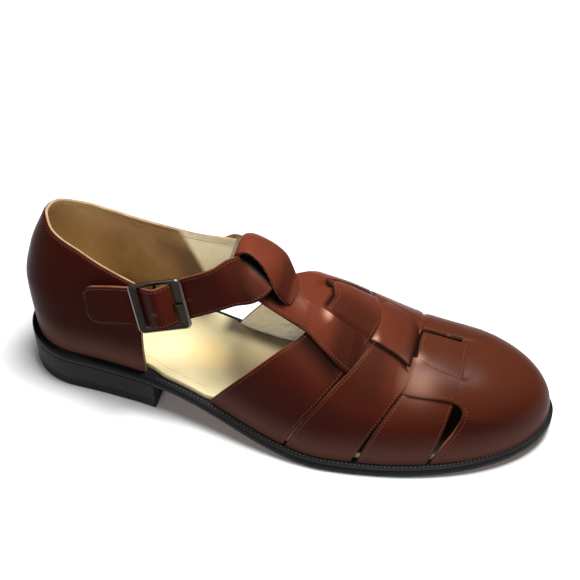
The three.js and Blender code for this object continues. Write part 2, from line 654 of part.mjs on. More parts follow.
function anklePath() {
  const path = smoothPath([
    ...FREE_END_SPOTS.map(counterSpot),
    ...BUCKLED_SPOTS.map(buckleSpot),
    freeSpot(OUTER_SPAN),
    ...LOOPED_SPOTS.map(vampSpot),
    freeSpot(INNER_SPAN),
    ...INNER_END_SPOTS.map(counterSpot),
  ], 4);
  let gone = 0;
  const travelled = path.map((place, k) => {
    gone += k ? place.at.distanceTo(path[k - 1].at) : 0;
    return gone;
  });
  return path.map((place, k) => {
    const end = Math.min(travelled[k], gone - travelled[k]);
    const inset = 1 - clamp01((end + 0.15) / ANKLE_TIP);
    const near = place.at.y < 0 ? clamp01(1 - Math.abs(place.at.x - SPAN_WIDEST) / SPAN_REACH) : 0;
    const wide = 1 + SPAN_WIDEN * near * near * (3 - 2 * near);
    return { ...place, narrow: wide * Math.sqrt(1 - inset * inset) };
  });
}

function ankleStrapGeometry() {
  const strap = toManifold(ribbon(anklePath(), ANKLE_WIDTH, ANKLE_THICK));
  const hole = new THREE.CylinderGeometry(PRONG_HOLE_R, PRONG_HOLE_R, PRONG_HOLE_DEEP, 20);
  hole.rotateZ(PRONG_HOLE_TURN);
  const turned = new THREE.Matrix4().makeBasis(BUCKLE_RUN, BUCKLE_OUT, BUCKLE_RISE.clone().negate());
  hole.applyMatrix4(turned.setPosition(inBuckle(PRONG_HOLE_RUN, 0, OVER_BAR)));
  return fromManifold(strap.subtract(toManifold(hole)));
}

function wrapSpots(radius, degrees) {
  return degrees.map((degree) => {
    const turn = degree * Math.PI / 180;
    return { run: radius * Math.cos(turn), out: radius * Math.sin(turn) };
  });
}

function buckleTabGeometry() {
  const path = [
    ...TAB_SEWN_SPOTS.map(counterSpot),
    ...TAB_RUN_SPOTS.map(buckleSpot),
    ...wrapSpots(TAB_WRAP_R, TAB_WRAP_DEGREES).map(buckleSpot),
  ];
  const tab = toManifold(ribbon(path, TAB_WIDTH, TAB_THICK));
  const slot = new THREE.BoxGeometry(9, TAB_SLOT, 9);
  slot.translate(1, 0, 0.6);
  slot.applyMatrix4(BUCKLE_FRAME);
  return fromManifold(tab.subtract(toManifold(slot)));
}

function roundedRectangle(shape, long, high, corner) {
  const x = long / 2 - corner;
  const y = high / 2 - corner;
  const turns = [[x, y, 0], [-x, y, 1], [-x, -y, 2], [x, -y, 3]];
  turns.forEach(([cx, cy, quarter]) => {
    for (let k = 0; k <= 4; k += 1) {
      const angle = (quarter + k / 4) * Math.PI / 2;
      const [px, py] = [cx + corner * Math.cos(angle), cy + corner * Math.sin(angle)];
      if (quarter + k === 0) {
        shape.moveTo(px, py);
      } else {
        shape.lineTo(px, py);
      }
    }
  });
  shape.closePath();
  return shape;
}

function buckleFrameGeometry() {
  const outline = roundedRectangle(new THREE.Shape(), FRAME_LONG, FRAME_HIGH, FRAME_CORNER);
  const window = [FRAME_LONG - 2 * FRAME_BAR, FRAME_HIGH - 2 * FRAME_BAR, FRAME_WINDOW_CORNER];
  outline.holes.push(roundedRectangle(new THREE.Path(), ...window));
  const frame = new THREE.ExtrudeGeometry(outline, { depth: FRAME_THICK, bevelEnabled: false, steps: 1 });
  frame.translate(0, 0, -FRAME_THICK / 2);
  const bar = new THREE.CylinderGeometry(CENTRE_BAR_R, CENTRE_BAR_R, FRAME_HIGH - FRAME_BAR, 20);
  const whole = joinAll([frame, bar]);
  whole.applyMatrix4(BUCKLE_FRAME);
  return whole;
}

function buckleProngGeometry() {
  const spots = [...wrapSpots(PRONG_WRAP_R, PRONG_WRAP_DEGREES), ...PRONG_REACH];
  const places = spots.map(({ run, out }) => new THREE.Vector3(run, 0, out));
  const line = new THREE.CatmullRomCurve3(places, false, 'centripetal');
  const round = new THREE.Shape().absarc(0, 0, PRONG_R, 0, 2 * Math.PI);
  const sweep = { extrudePath: line, steps: 26, curveSegments: 4, bevelEnabled: false };
  const pin = new THREE.ExtrudeGeometry(round, sweep);
  pin.applyMatrix4(BUCKLE_FRAME);
  return pin;
}

const LEATHER_BROWN = { color: 0x4b2b20, roughness: 0.42, metalness: 0 };
const LEATHER_BLACK = { color: 0x17171a, roughness: 0.4, metalness: 0 };
const SOLE_TAN = { color: 0xa5642f, roughness: 0.55, metalness: 0 };
const SOCK_GOLD = { color: 0xc9a05a, roughness: 0.4, metalness: 0 };
const RUBBER_BLACK = { color: 0x141415, roughness: 0.7, metalness: 0 };
const GUNMETAL = { color: 0x55524f, roughness: 0.35, metalness: 1 };

// The frame's origin lies on the floor under the middle of the shoe's box.
const widestOf = (outer) => Math.max(...lengthStations(0).map((along) => halfWidth(along, outer, 0)));
const SIDE_CENTRE = (widestOf(true) - widestOf(false)) / 2;

const sandal = new THREE.Group();
sandal.name = 'fisherman_sandal';

function addPiece(name, geometry, finish) {
  const piece = new THREE.Mesh(geometry, new THREE.MeshStandardMaterial(finish));
  piece.name = name;
  piece.position.set(-SHOE_LENGTH / 2, SIDE_CENTRE, 0);
  sandal.add(piece);
}

addPiece('outsole', outsoleGeometry(), SOLE_TAN);
addPiece('welt', weltGeometry(), LEATHER_BLACK);
addPiece('heel_block', heelBlockGeometry(), LEATHER_BLACK);
addPiece('heel_top_rubber', heelTopGeometry(true), RUBBER_BLACK);
addPiece('heel_top_leather', heelTopGeometry(false), SOLE_TAN);
addPiece('insole', insoleGeometry(), SOCK_GOLD);
addPiece('vamp', vampGeometry(), LEATHER_BROWN);
addPiece('quarter', quarterGeometry(), LEATHER_BROWN);
addPiece('ankle_strap', ankleStrapGeometry(), LEATHER_BROWN);
addPiece('buckle_tab', buckleTabGeometry(), LEATHER_BROWN);
addPiece('buckle_frame', buckleFrameGeometry(), GUNMETAL);
addPiece('buckle_prong', buckleProngGeometry(), GUNMETAL);

export default sandal;
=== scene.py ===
import math
import bmesh
import bpy
import numpy as np
from mathutils import Matrix, Vector


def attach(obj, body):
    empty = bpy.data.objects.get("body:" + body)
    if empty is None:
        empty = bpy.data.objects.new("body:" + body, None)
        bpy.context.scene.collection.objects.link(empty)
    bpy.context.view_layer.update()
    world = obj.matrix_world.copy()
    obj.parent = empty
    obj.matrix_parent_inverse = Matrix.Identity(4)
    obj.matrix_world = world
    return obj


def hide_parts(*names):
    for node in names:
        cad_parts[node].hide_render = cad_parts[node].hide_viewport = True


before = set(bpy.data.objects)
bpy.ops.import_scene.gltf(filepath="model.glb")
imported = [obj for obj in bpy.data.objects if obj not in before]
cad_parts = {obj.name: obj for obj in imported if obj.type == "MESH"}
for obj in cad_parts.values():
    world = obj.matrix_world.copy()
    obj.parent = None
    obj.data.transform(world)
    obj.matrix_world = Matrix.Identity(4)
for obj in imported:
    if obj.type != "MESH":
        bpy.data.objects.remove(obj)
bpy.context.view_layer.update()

# Outsole
# One cut of tan sole leather under the whole foot, bent up over the shank to the heel seat.
# Its edge is trimmed square, inked black and burnished, and the walking face is left natural.
SHOE_LENGTH = 300.0
HEEL_ROUND = 34.0
HEEL_POWER = 2.1
OUTER_ROUND_FROM = 175.0
INNER_ROUND_FROM = 203.0
OUTER_EDGE = {
    "along": [0, 40, 70, 94, 110, 125, 139, 155, 170, 185, 300],
    "half": [31.8, 33.2, 36, 40, 43.5, 47.5, 51.5, 55.5, 58.2, 59.3, 59.3],
}
INNER_EDGE = {
    "along": [0, 40, 60, 80, 100, 120, 139, 155, 170, 185, 200, 300],
    "half": [31.8, 32.7, 31, 28, 25, 23.8, 24.5, 28, 34, 40.5, 44.3, 44.3],
}
HEEL_HEIGHT = 18.0
HEEL_SLOPE = 0.03
BREAST = 83.0
SHANK_STEEPNESS = 1.6
FLAT_FROM = 182.0
FLAT_TO = 212.0
TOE_SPRING = 6.5
SPRING_POWER = 1.8
OUTSOLE_EDGE = {"inset": [1.0, 0.3, 0, 0, 0.35], "rise": [0, 0.25, 0.8, 2.9, 3.4]}
RIM_STATIONS = 130
RIM_END_GAP = 0.05
LENGTH_STATIONS = 1201
CAP_COLUMNS = 13
MERGE_WITHIN = 2e-6
FLATTEN_WITHIN = 1e-7
# Tones for painted shade and painted highlights, laid over a finish by each piece's stored shade.
DEEP_SHADE = (0.003, 0.002, 0.0015, 1)
PAINTED_HIGHLIGHT_TONE = (0.36, 0.2, 0.14, 1)
COAT_ROUGHNESS = 0.22
SPOT_ROUGHNESS = 0.55
CLOUD_DETAIL = 4.0
CLOUD_RANGE = (0.3, 0.7)
CLOUD_SHARE = 0.75
SPECK_PER_GRAIN = 2.5
SPECK_DETAIL = 2.0
CREASE_WIDTH = 0.22
CELL_SHARE = 0.6
CLOUD_GLOSS = 0.1
SPECK_GLOSS = 0.16
GRAIN_DEPTH = 0.0002


def curve(table, across, value):
    """A smooth monotone curve through one column of a table."""
    x, y = np.array(table[across], float), np.array(table[value], float)
    step = np.diff(x)
    rise = np.diff(y) / step
    slope = np.concatenate([rise[:1], np.zeros(len(x) - 2), rise[-1:]])
    before, after = 2 * step[1:] + step[:-1], step[1:] + 2 * step[:-1]
    alike = rise[:-1] * rise[1:] > 0
    weight = before[alike] / rise[:-1][alike] + after[alike] / rise[1:][alike]
    slope[1:-1][alike] = (before + after)[alike] / weight

    def at(where):
        t = np.clip(where, x[0], x[-1])
        k = np.clip(np.searchsorted(x, t, side="left") - 1, 0, len(step) - 1)
        f = (t - x[k]) / step[k]
        g = 1 - f
        ends = y[k] * (1 + 2 * f) * g * g + y[k + 1] * (3 - 2 * f) * f * f
        return ends + step[k] * f * g * (slope[k] * g - slope[k + 1] * f)
    return at


outer_edge = curve(OUTER_EDGE, "along", "half")
inner_edge = curve(INNER_EDGE, "along", "half")


def half_width(along, outer, inset):
    """Half width of the sole's outline on one side, drawn in by an inset."""
    base = (outer_edge if outer else inner_edge)(along) - inset
    round_from = OUTER_ROUND_FROM if outer else INNER_ROUND_FROM
    heel = np.clip(1 - (along - inset) / (HEEL_ROUND - inset), 0, 1)
    toe = np.clip((along - round_from) / (SHOE_LENGTH - inset - round_from), 0, 1)
    return base * (1 - heel ** HEEL_POWER) ** (1 / HEEL_POWER) * np.sqrt(1 - toe * toe)


def underside(along):
    """Height of the outsole's walking face above the floor."""
    along = np.asarray(along, float)
    seat = HEEL_HEIGHT + HEEL_SLOPE * (BREAST - along)
    run = FLAT_FROM - BREAST
    t = np.clip((along - BREAST) / run, 0, 1)
    start = -HEEL_SLOPE * SHANK_STEEPNESS * run
    shank = (2 * t ** 3 - 3 * t ** 2 + 1) * HEEL_HEIGHT + (t ** 3 - 2 * t ** 2 + t) * start
    lifted = np.clip((along - FLAT_TO) / (SHOE_LENGTH - FLAT_TO), 0, 1)
    return np.where(along < BREAST, seat, shank) + TOE_SPRING * lifted ** SPRING_POWER


whole_length = np.linspace(0, SHOE_LENGTH, LENGTH_STATIONS)
SIDE_CENTRE = (half_width(whole_length, True, 0).max() - half_width(whole_length, False, 0).max()) / 2


def rim(inset, rise, base=underside, to=None, flare=None):
    """A loop round the sole's outline, up the outer side and down the inner, at a rise above a base."""
    t = np.linspace(0, 1, RIM_STATIONS)
    start = inset + RIM_END_GAP
    if to is None:
        along = start + (SHOE_LENGTH - 2 * start) * (1 - np.cos(np.pi * t)) / 2
    else:
        along = start + (to - start) * (1 - np.cos(np.pi / 2 * t))
    high = base(along) + rise
    inset = inset - flare(along) if flare else inset
    outer = np.stack([along, -half_width(along, True, inset), high], -1)
    inner = np.stack([along, half_width(along, False, inset), high], -1)
    return np.concatenate([outer, inner[::-1]])


def placed(points):
    """Metres in the frame from shoe millimetres, which count from the back of the heel."""
    return (points + [-SHOE_LENGTH / 2, SIDE_CENTRE, 0]) / 1000


def add_object(name, data):
    """An object in the scene, at the origin."""
    made = bpy.data.objects.new(name, data)
    bpy.context.scene.collection.objects.link(made)
    return made


def quads(index):
    """Four-cornered faces over a grid of point numbers."""
    return np.stack([index[:-1, :-1], index[1:, :-1], index[1:, 1:], index[:-1, 1:]], -1).reshape(-1, 4)


def gather(sheets):
    """One shell from sheets of (grid of points, tag, depth of shade); the tag picks each face's finish."""
    points, faces, tags, shades, start = [], [], [], [], 0
    for grid, tag, *shade in sheets:
        index = np.arange(grid.shape[0] * grid.shape[1]).reshape(grid.shape[:2]) + start
        made = quads(index)
        points.append(grid.reshape(-1, 3))
        faces.append(made)
        tags.append(np.full(len(made), tag))
        shades.append(np.broadcast_to(shade[0] if shade else 0.0, grid.shape[:2]).ravel())
        start += index.size
    return tuple(np.concatenate(columns) for columns in (points, faces, tags, shades))


def slab(loops, side_tag=0, bottom_tag=0, top_tag=0):
    """A flat layer from loops stacked upward, closed by a cap at each end."""
    loops = np.array(loops)
    walls = np.concatenate([loops, loops[:, :1]], 1)
    half = loops.shape[1] // 2
    t = np.linspace(0, 1, CAP_COLUMNS)[None, :, None]

    def cap(loop):
        outer, inner = loop[:half, None], loop[half:][::-1, None]
        return outer + (inner - outer) * t
    return gather([(walls, side_tag), (cap(loops[0]), bottom_tag), (cap(loops[-1]), top_tag)])


def make_piece(name, shells, materials, crease=40):
    """A closed mesh from shells in shoe millimetres, turned outward and smoothed up to a crease angle."""
    starts = np.cumsum([0] + [len(shell[0]) for shell in shells])
    points, tags, shades = (np.concatenate([shell[k] for shell in shells]) for k in (0, 2, 3))
    faces = np.concatenate([shell[1] + start for shell, start in zip(shells, starts)])
    mesh = bpy.data.meshes.new(name)
    mesh.from_pydata(placed(points).tolist(), [], faces.tolist())
    for material in materials:
        mesh.materials.append(material)
    mesh.polygons.foreach_set("material_index", tags.astype(np.int32))
    above_sole = points[:, 2] - underside(points[:, 0])
    for label, values in (("shade", shades), ("above_sole", above_sole)):
        mesh.attributes.new(label, "FLOAT", "POINT").data.foreach_set("value", values)
    work = bmesh.new()
    work.from_mesh(mesh)
    bmesh.ops.remove_doubles(work, verts=work.verts, dist=MERGE_WITHIN)
    bmesh.ops.dissolve_degenerate(work, edges=work.edges, dist=FLATTEN_WITHIN)
    bmesh.ops.recalc_face_normals(work, faces=work.faces)
    work.to_mesh(mesh)
    work.free()
    mesh.polygons.foreach_set("use_smooth", np.ones(len(mesh.polygons), bool))
    mesh.set_sharp_from_angle(angle=math.radians(crease))
    facing = np.empty(3 * len(mesh.vertices))
    mesh.vertex_normals.foreach_get("vector", facing)
    mesh.attributes.new("upward", "FLOAT", "POINT").data.foreach_set("value", facing[2::3])
    return add_object(name, mesh)


class Tone:
    """A socket in a material's tree, so that the maths of a finish reads as plain arithmetic."""

    def __init__(self, tree, socket=None):
        self.tree = tree
        self.socket = socket

    def node(self, kind, settings=None, inputs=None, output=0):
        made = self.tree.nodes.new(kind)
        for name, value in (settings or {}).items():
            setattr(made, name, value)
        for name, value in (inputs or {}).items():
            if isinstance(value, Tone):
                self.tree.links.new(value.socket, made.inputs[name])
            else:
                made.inputs[name].default_value = value
        return Tone(self.tree, made.outputs[output])

    def math(self, operation, first, second):
        return self.node("ShaderNodeMath", {"operation": operation}, {0: first, 1: second})

    def __add__(self, other):
        return self.math("ADD", self, other)

    def __radd__(self, other):
        return self.math("ADD", other, self)

    def __sub__(self, other):
        return self.math("SUBTRACT", self, other)

    def __rsub__(self, other):
        return self.math("SUBTRACT", other, self)

    def __mul__(self, other):
        return self.math("MULTIPLY", self, other)

    def __rmul__(self, other):
        return self.math("MULTIPLY", other, self)

    def __pow__(self, other):
        return self.math("POWER", self, other)

    def __rpow__(self, other):
        return self.math("POWER", other, self)

    def blend(self, first, second):
        """A colour between two others, by this tone."""
        sockets = {0: self, 6: first, 7: second}
        return self.node("ShaderNodeMix", {"data_type": "RGBA"}, sockets, output=2)

    def between(self, low, high, to_low=0.0, to_high=1.0):
        """This tone spread over another range, held at its ends."""
        sockets = {"Value": self, "From Min": low, "From Max": high, "To Min": to_low, "To Max": to_high}
        return self.node("ShaderNodeMapRange", {"interpolation_type": "SMOOTHSTEP"}, sockets)


def new_finish(name, constants):
    """A material with its unvarying values set on the shader; returns it with its shader and a bare tone."""
    material = bpy.data.materials.new(name)
    material.use_nodes = True
    shader = material.node_tree.nodes["Principled BSDF"]
    for socket, value in constants.items():
        shader.inputs[socket].default_value = value
    return material, shader, Tone(material.node_tree)


def lead(tone, shader, socket):
    """Feeds a tone to one of the shader's sockets."""
    tone.tree.links.new(tone.socket, shader.inputs[socket])


def spots(tone, size, detail, stretch=(1, 1, 1)):
    """Soft cloudy patches of about a size in metres, from 0 to 1."""
    place = tone.node("ShaderNodeTexCoord", output=3)
    place = place.node("ShaderNodeMapping", inputs={"Vector": place, "Scale": stretch})
    sockets = {"Vector": place, "Scale": 1 / size, "Detail": detail, "Roughness": SPOT_ROUGHNESS}
    return place.node("ShaderNodeTexNoise", inputs=sockets)


def pores(tone, size):
    """The cells of a hide's grain of about a size in metres: 0 in the creases between cells."""
    place = tone.node("ShaderNodeTexCoord", output=3)
    sockets = {"Vector": place, "Scale": 1 / size, "Randomness": 1.0}
    return place.node("ShaderNodeTexVoronoi", {"feature": "DISTANCE_TO_EDGE"}, sockets)


def stored(tone, name):
    """A value kept on the piece's points."""
    return tone.node("ShaderNodeAttribute", {"attribute_name": name}, output=2)


def hide(name, deep, bright, gloss, grain, relief, coat=0.0, patch=0.03, stretch=(1, 1, 1), shine=0.3,
         tint=None):
    """A dressed leather: cloudy colour between two tones, fine grain, and gloss that follows both, with
    painted shade and painted highlights from the stored shade.
    """
    constants = {"Coat Weight": coat, "Coat Roughness": COAT_ROUGHNESS, "Specular IOR Level": shine}
    material, shader, bare = new_finish(name, constants)
    cloud = spots(bare, patch, CLOUD_DETAIL, stretch).between(*CLOUD_RANGE)
    cells = pores(bare, grain).between(0.0, CREASE_WIDTH)
    speck = spots(bare, grain * SPECK_PER_GRAIN, SPECK_DETAIL)
    mixed = cloud * CLOUD_SHARE + speck * (1 - CLOUD_SHARE)
    colour = mixed.blend((*deep, 1), (*bright, 1))
    if tint:
        colour = tint(bare, colour)
    # The stored shade paints shade toward a deep tone, and where it is negative it paints a highlight.
    shade = stored(bare, "shade")
    colour = shade.blend(colour, DEEP_SHADE)
    lead((shade * -1).blend(colour, PAINTED_HIGHLIGHT_TONE), shader, "Base Color")
    lead((cloud - 0.5) * CLOUD_GLOSS + (speck - 0.5) * SPECK_GLOSS + gloss, shader, "Roughness")
    height = cells * CELL_SHARE + speck * (1 - CELL_SHARE)
    sockets = {"Height": height, "Strength": relief, "Distance": GRAIN_DEPTH}
    lead(bare.node("ShaderNodeBump", inputs=sockets), shader, "Normal")
    return material


sole_edge_black = hide("sole_edge_ink", (0.006, 0.0062, 0.0065), (0.011, 0.0113, 0.0118),
                       gloss=0.42, grain=0.0012, relief=0.2, shine=0.1)
sole_leather_tan = hide("sole_leather_natural", (0.30, 0.098, 0.022), (0.42, 0.155, 0.045),
                        gloss=0.45, grain=0.0009, relief=0.2, coat=0.1, patch=0.05, stretch=(1, 2.2, 1))
edge_loops = [rim(inset, rise) for inset, rise in zip(*OUTSOLE_EDGE.values())]
outsole = make_piece("outsole_leather", [slab(edge_loops, 0, 1, 0)], [sole_edge_black, sole_leather_tan])
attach(outsole, "root")
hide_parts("outsole")

# Welt
# A narrow strip of leather laid round the edge on top of the outsole and stitched down through it.
# It is inked black like the sole's edge, and a row of fine grey stitches shows from the heel breast forward.
WELT_EDGE = {
    "inset": [0.3, 0, 0, 0.25, 0.9, 7.4, 7.5],
    "rise": [3.55, 3.9, 5.0, 5.4, 5.6, 5.6, 3.55],
}
WELT_STITCH_INSET = 2.3
WELT_STITCH_RISE = 5.72
WELT_STITCH_FROM = 84.0
BEAD = {"Segments": 6, "Rings": 4, "Radius": 0.5}
TWIST_SIZE = 0.0006
TWIST_DETAIL = 2.0
THREAD_SHINE = 0.3
THREAD_GLOSS = 0.5
THREAD_GLOSS_RANGE = 0.2


def stitch_tree():
    """Threads along drawn lines: one small rounded stitch at each step, lying on the leather."""
    tree = bpy.data.node_groups.new("stitch_row", "GeometryNodeTree")
    face = tree.interface
    face.new_socket("Lines", in_out="INPUT", socket_type="NodeSocketGeometry")
    for label in ("Step", "Length", "Width", "Height"):
        face.new_socket(label, in_out="INPUT", socket_type="NodeSocketFloat")
    face.new_socket("Thread", in_out="INPUT", socket_type="NodeSocketMaterial")
    face.new_socket("Stitches", in_out="OUTPUT", socket_type="NodeSocketGeometry")
    kinds = {
        "given": "NodeGroupInput", "lines": "GeometryNodeMeshToCurve", "steps": "GeometryNodeResampleCurve",
        "run": "GeometryNodeInputTangent", "out": "GeometryNodeInputNamedAttribute",
        "along": "FunctionNodeAlignRotationToVector", "upright": "FunctionNodeAlignRotationToVector",
        "bead": "GeometryNodeMeshUVSphere", "size": "ShaderNodeCombineXYZ", "thread": "GeometryNodeTransform",
        "sew": "GeometryNodeInstanceOnPoints", "real": "GeometryNodeRealizeInstances",
        "paint": "GeometryNodeSetMaterial", "made": "NodeGroupOutput",
    }
    made = {name: tree.nodes.new(kind) for name, kind in kinds.items()}
    made["steps"].mode = "LENGTH"
    made["out"].data_type = "FLOAT_VECTOR"
    made["out"].inputs["Name"].default_value = "outward"
    made["along"].axis = "X"
    made["upright"].axis = "Z"
    made["upright"].pivot_axis = "X"
    for label, value in BEAD.items():
        made["bead"].inputs[label].default_value = value
    links = [
        ("given", "Lines", "lines", "Mesh"), ("lines", "Curve", "steps", "Curve"),
        ("given", "Step", "steps", "Length"), ("run", "Tangent", "along", "Vector"),
        ("along", "Rotation", "upright", "Rotation"), ("out", "Attribute", "upright", "Vector"),
        ("given", "Length", "size", "X"), ("given", "Width", "size", "Y"), ("given", "Height", "size", "Z"),
        ("bead", "Mesh", "thread", "Geometry"), ("size", "Vector", "thread", "Scale"),
        ("steps", "Curve", "sew", "Points"), ("thread", "Geometry", "sew", "Instance"),
        ("upright", "Rotation", "sew", "Rotation"), ("sew", "Instances", "real", "Geometry"),
        ("real", "Geometry", "paint", "Geometry"), ("given", "Thread", "paint", "Material"),
        ("paint", "Geometry", "made", "Stitches"),
    ]
    for source, outlet, target, inlet in links:
        tree.links.new(made[source].outputs[outlet], made[target].inputs[inlet])
    return tree


STITCH_TREE = stitch_tree()


def sew(name, rows, thread, step=1.9, length=1.25, width=0.34, height=0.3):
    """Stitches along rows of (points, outward directions) in shoe millimetres, as one plain mesh."""
    points, outward = (np.concatenate([row[k] for row in rows]) for k in (0, 1))
    edges, start = [], 0
    for row in rows:
        edges += [(start + k, start + k + 1) for k in range(len(row[0]) - 1)]
        start += len(row[0])
    lines = bpy.data.meshes.new(name + "_lines")
    lines.from_pydata(placed(points).tolist(), edges, [])
    lines.attributes.new("outward", "FLOAT_VECTOR", "POINT").data.foreach_set("vector", outward.ravel())
    drawn = add_object(name + "_lines", lines)
    sewing = drawn.modifiers.new("sewing", "NODES")
    sewing.node_group = STITCH_TREE
    sizes = {"Step": step, "Length": length, "Width": width, "Height": height}
    values = {label: size / 1000 for label, size in sizes.items()}
    values["Thread"] = thread
    for item in STITCH_TREE.interface.items_tree:
        if item.in_out == "INPUT" and item.name in values:
            sewing[item.identifier] = values[item.name]
    ready = drawn.evaluated_get(bpy.context.evaluated_depsgraph_get())
    mesh = bpy.data.meshes.new_from_object(ready)
    mesh.name = name
    mesh.polygons.foreach_set("use_smooth", np.ones(len(mesh.polygons), bool))
    drawn.modifiers.remove(sewing)
    bpy.data.objects.remove(drawn)
    stitches = add_object(name, mesh)
    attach(stitches, "root")


def ring(loops):
    """A closed hoop from loops that go round its section."""
    loops = np.array(loops)
    loops = np.concatenate([loops, loops[:1]])
    return gather([(np.concatenate([loops, loops[:, :1]], 1), 0)])


welt_loops = [rim(inset, rise) for inset, rise in zip(*WELT_EDGE.values())]
welt_black = hide("welt_ink", (0.0022, 0.0022, 0.0024), (0.005, 0.005, 0.0055),
                  gloss=0.5, grain=0.0012, relief=0.35, shine=0.05)
welt = make_piece("welt_strip", [ring(welt_loops)], [welt_black])
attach(welt, "root")
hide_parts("welt")


def thread_finish(name, deep, bright):
    """Waxed sewing thread, its tone and gloss varying along its twist."""
    material, shader, bare = new_finish(name, {"Specular IOR Level": THREAD_SHINE})
    twist = spots(bare, TWIST_SIZE, TWIST_DETAIL)
    lead(twist.blend((*deep, 1), (*bright, 1)), shader, "Base Color")
    lead(twist * THREAD_GLOSS_RANGE + THREAD_GLOSS, shader, "Roughness")
    return material


def facing_up(line):
    """A row of stitches that lie flat on a sole's layer."""
    return line, np.tile([0.0, 0.0, 1.0], (len(line), 1))


welt_thread = thread_finish("welt_thread_grey", (0.02, 0.0195, 0.019), (0.05, 0.049, 0.047))
welt_line = rim(WELT_STITCH_INSET, WELT_STITCH_RISE)
welt_line = welt_line[welt_line[:, 0] > WELT_STITCH_FROM]
sew("welt_stitches", [facing_up(welt_line)], welt_thread, step=2.3, length=1.3, width=0.7, height=0.35)

# Heel
# A low stacked heel of black leather lifts, with a walking face in two pieces that meet in a V.
# The rear piece is black rubber against wear and the front piece is tan leather, both glued on.
HEEL_TOP_THICK = 6.0
HEEL_JOINT = 0.04
HEEL_CREASE = 30
RUBBER_CENTRE = 40.0
RUBBER_SWEEP = 0.2
LIFT_FOOT = {"inset": [0.05, 0.0], "rise": [0.0, 0.1]}
LIFT_HEAD = {"inset": [0.0, 0.1], "rise": [-0.2, 0.0]}
TREAD_EDGE = {"inset": [0.5, 0.1, 0.0, 0.0, 0.05], "rise": [0.0, 0.15, 0.5, 5.9, 6.0]}
BLOCK_FROM = -5.0
BLOCK_HIGH = 20.0

heel_base = HEEL_TOP_THICK + HEEL_JOINT
heel_loops = [rim(inset, heel_base + rise, np.zeros_like, BREAST)
              for inset, rise in zip(*LIFT_FOOT.values())]
heel_loops += [rim(inset, rise - HEEL_JOINT, underside, BREAST)
               for inset, rise in zip(*LIFT_HEAD.values())]
heel_block = make_piece("heel_lifts", [slab(heel_loops)], [sole_edge_black], HEEL_CREASE)
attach(heel_block, "root")
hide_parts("heel_block")

tread_rubber = hide("heel_rubber_black", (0.0055, 0.0056, 0.0058), (0.0105, 0.0107, 0.011),
                    gloss=0.5, grain=0.0008, relief=0.2, shine=0.1)


def cut(piece, cutter, operation):
    """Cuts one mesh by another for good, and drops the cutter."""
    tool = piece.modifiers.new("cut", "BOOLEAN")
    tool.object = cutter
    tool.operation = operation
    tool.solver = "EXACT"
    ready = piece.evaluated_get(bpy.context.evaluated_depsgraph_get())
    mesh = bpy.data.meshes.new_from_object(ready)
    piece.modifiers.remove(tool)
    mesh.name = piece.data.name
    piece.data = mesh
    bpy.data.objects.remove(cutter)


def rear_block(shift):
    """The space behind the V joint."""
    reach = 2 * HEEL_ROUND
    apex = RUBBER_CENTRE + shift
    wing = apex + RUBBER_SWEEP * reach
    outline = np.array([[-reach, -reach], [wing, -reach], [apex, 0], [wing, reach], [-reach, reach]])
    corners = placed(np.c_[outline, np.full(len(outline), BLOCK_FROM)])
    work = bmesh.new()
    base = work.faces.new([work.verts.new(corner) for corner in corners])
    grown = bmesh.ops.extrude_face_region(work, geom=[base])
    risen = [item for item in grown["geom"] if isinstance(item, bmesh.types.BMVert)]
    bmesh.ops.translate(work, verts=risen, vec=(0, 0, BLOCK_HIGH / 1000))
    bmesh.ops.recalc_face_normals(work, faces=work.faces)
    mesh = bpy.data.meshes.new("rear_block")
    work.to_mesh(mesh)
    work.free()
    return add_object("rear_block", mesh)


tread_loops = [rim(inset, rise, np.zeros_like, BREAST) for inset, rise in zip(*TREAD_EDGE.values())]
for name, node, slot_name, shift, operation, finishes in (
    ("heel_tread_rear", "heel_top_rubber", "heel_rubber", 0.0, "INTERSECT", [tread_rubber, tread_rubber]),
    ("heel_tread_front", "heel_top_leather", "sole_leather", HEEL_JOINT, "DIFFERENCE",
     [sole_edge_black, sole_leather_tan]),
):
    tread = make_piece(name, [slab(tread_loops, 0, 1, 0)], finishes, HEEL_CREASE)
    cut(tread, rear_block(shift), operation)
    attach(tread, "root")
    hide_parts(node)

# Insole
# A stiff board covered by a full-length sock of smooth cream-gold leather, which the foot rests on.
# The sock is glued down and stitched at the open waist, and elsewhere its edge disappears under the upper.
INSOLE_EDGE = {
    "inset": [7.8, 7.8, 7.8, 7.8, 8.0, 8.7, 9.8],
    "rise": [3.7, 5.75, 5.8, 8.1, 8.6, 8.9, 9.0],
    "lip": [0, 0, 3.2, 3.2, 3.2, 3.2, 3.2],
}
INSOLE_CREASE = 60
WAIST_REAR = (78, 91)
WAIST_FRONT = (112, 125)
SOCK_STITCH_INSET = 12.4
SOCK_STITCH_RISE = 9.05
SOCK_STITCH_LIP = 3.2
SOCK_STITCH_FROM = 60
SOCK_STITCH_TO = 112
WORN_AT = (-0.042, -0.005)
WORN_AREA = (2.4e-4, 0.5e-4)
WORN_DEPTH = 0.5
WORN_TONE = (0.43, 0.30, 0.115, 1)
SHADE_BELOW_LOOP = ((-0.035, -0.026), (-0.02, -0.004), 0.5, (0.165, 0.11, 0.052, 1))
SHADE_BY_WALL = ((-0.043, -0.035), (0.011, 0.02), 0.92, (0.035, 0.024, 0.013, 1))
SOCK_COVERED_ALONG = (0.006, 0.03)
SOCK_COVERED_RISE = (8.3, 8.9)
SOCK_COVERED_TONE = (0.03, 0.021, 0.014, 1)


def step_up(value, low, high):
    """A soft step from 0 at low to 1 at high."""
    t = np.clip((value - low) / (high - low), 0, 1)
    return t * t * (3 - 2 * t)


def open_waist(along):
    """1 where no upper stands on the welt, between the quarter and the first band."""
    return step_up(along, *WAIST_REAR) - step_up(along, *WAIST_FRONT)


def metres(tone, axis):
    """Where a point lies along one axis of the frame."""
    place = tone.node("ShaderNodeTexCoord", output=3)
    return place.node("ShaderNodeSeparateXYZ", inputs={"Vector": place}, output="XYZ".index(axis))


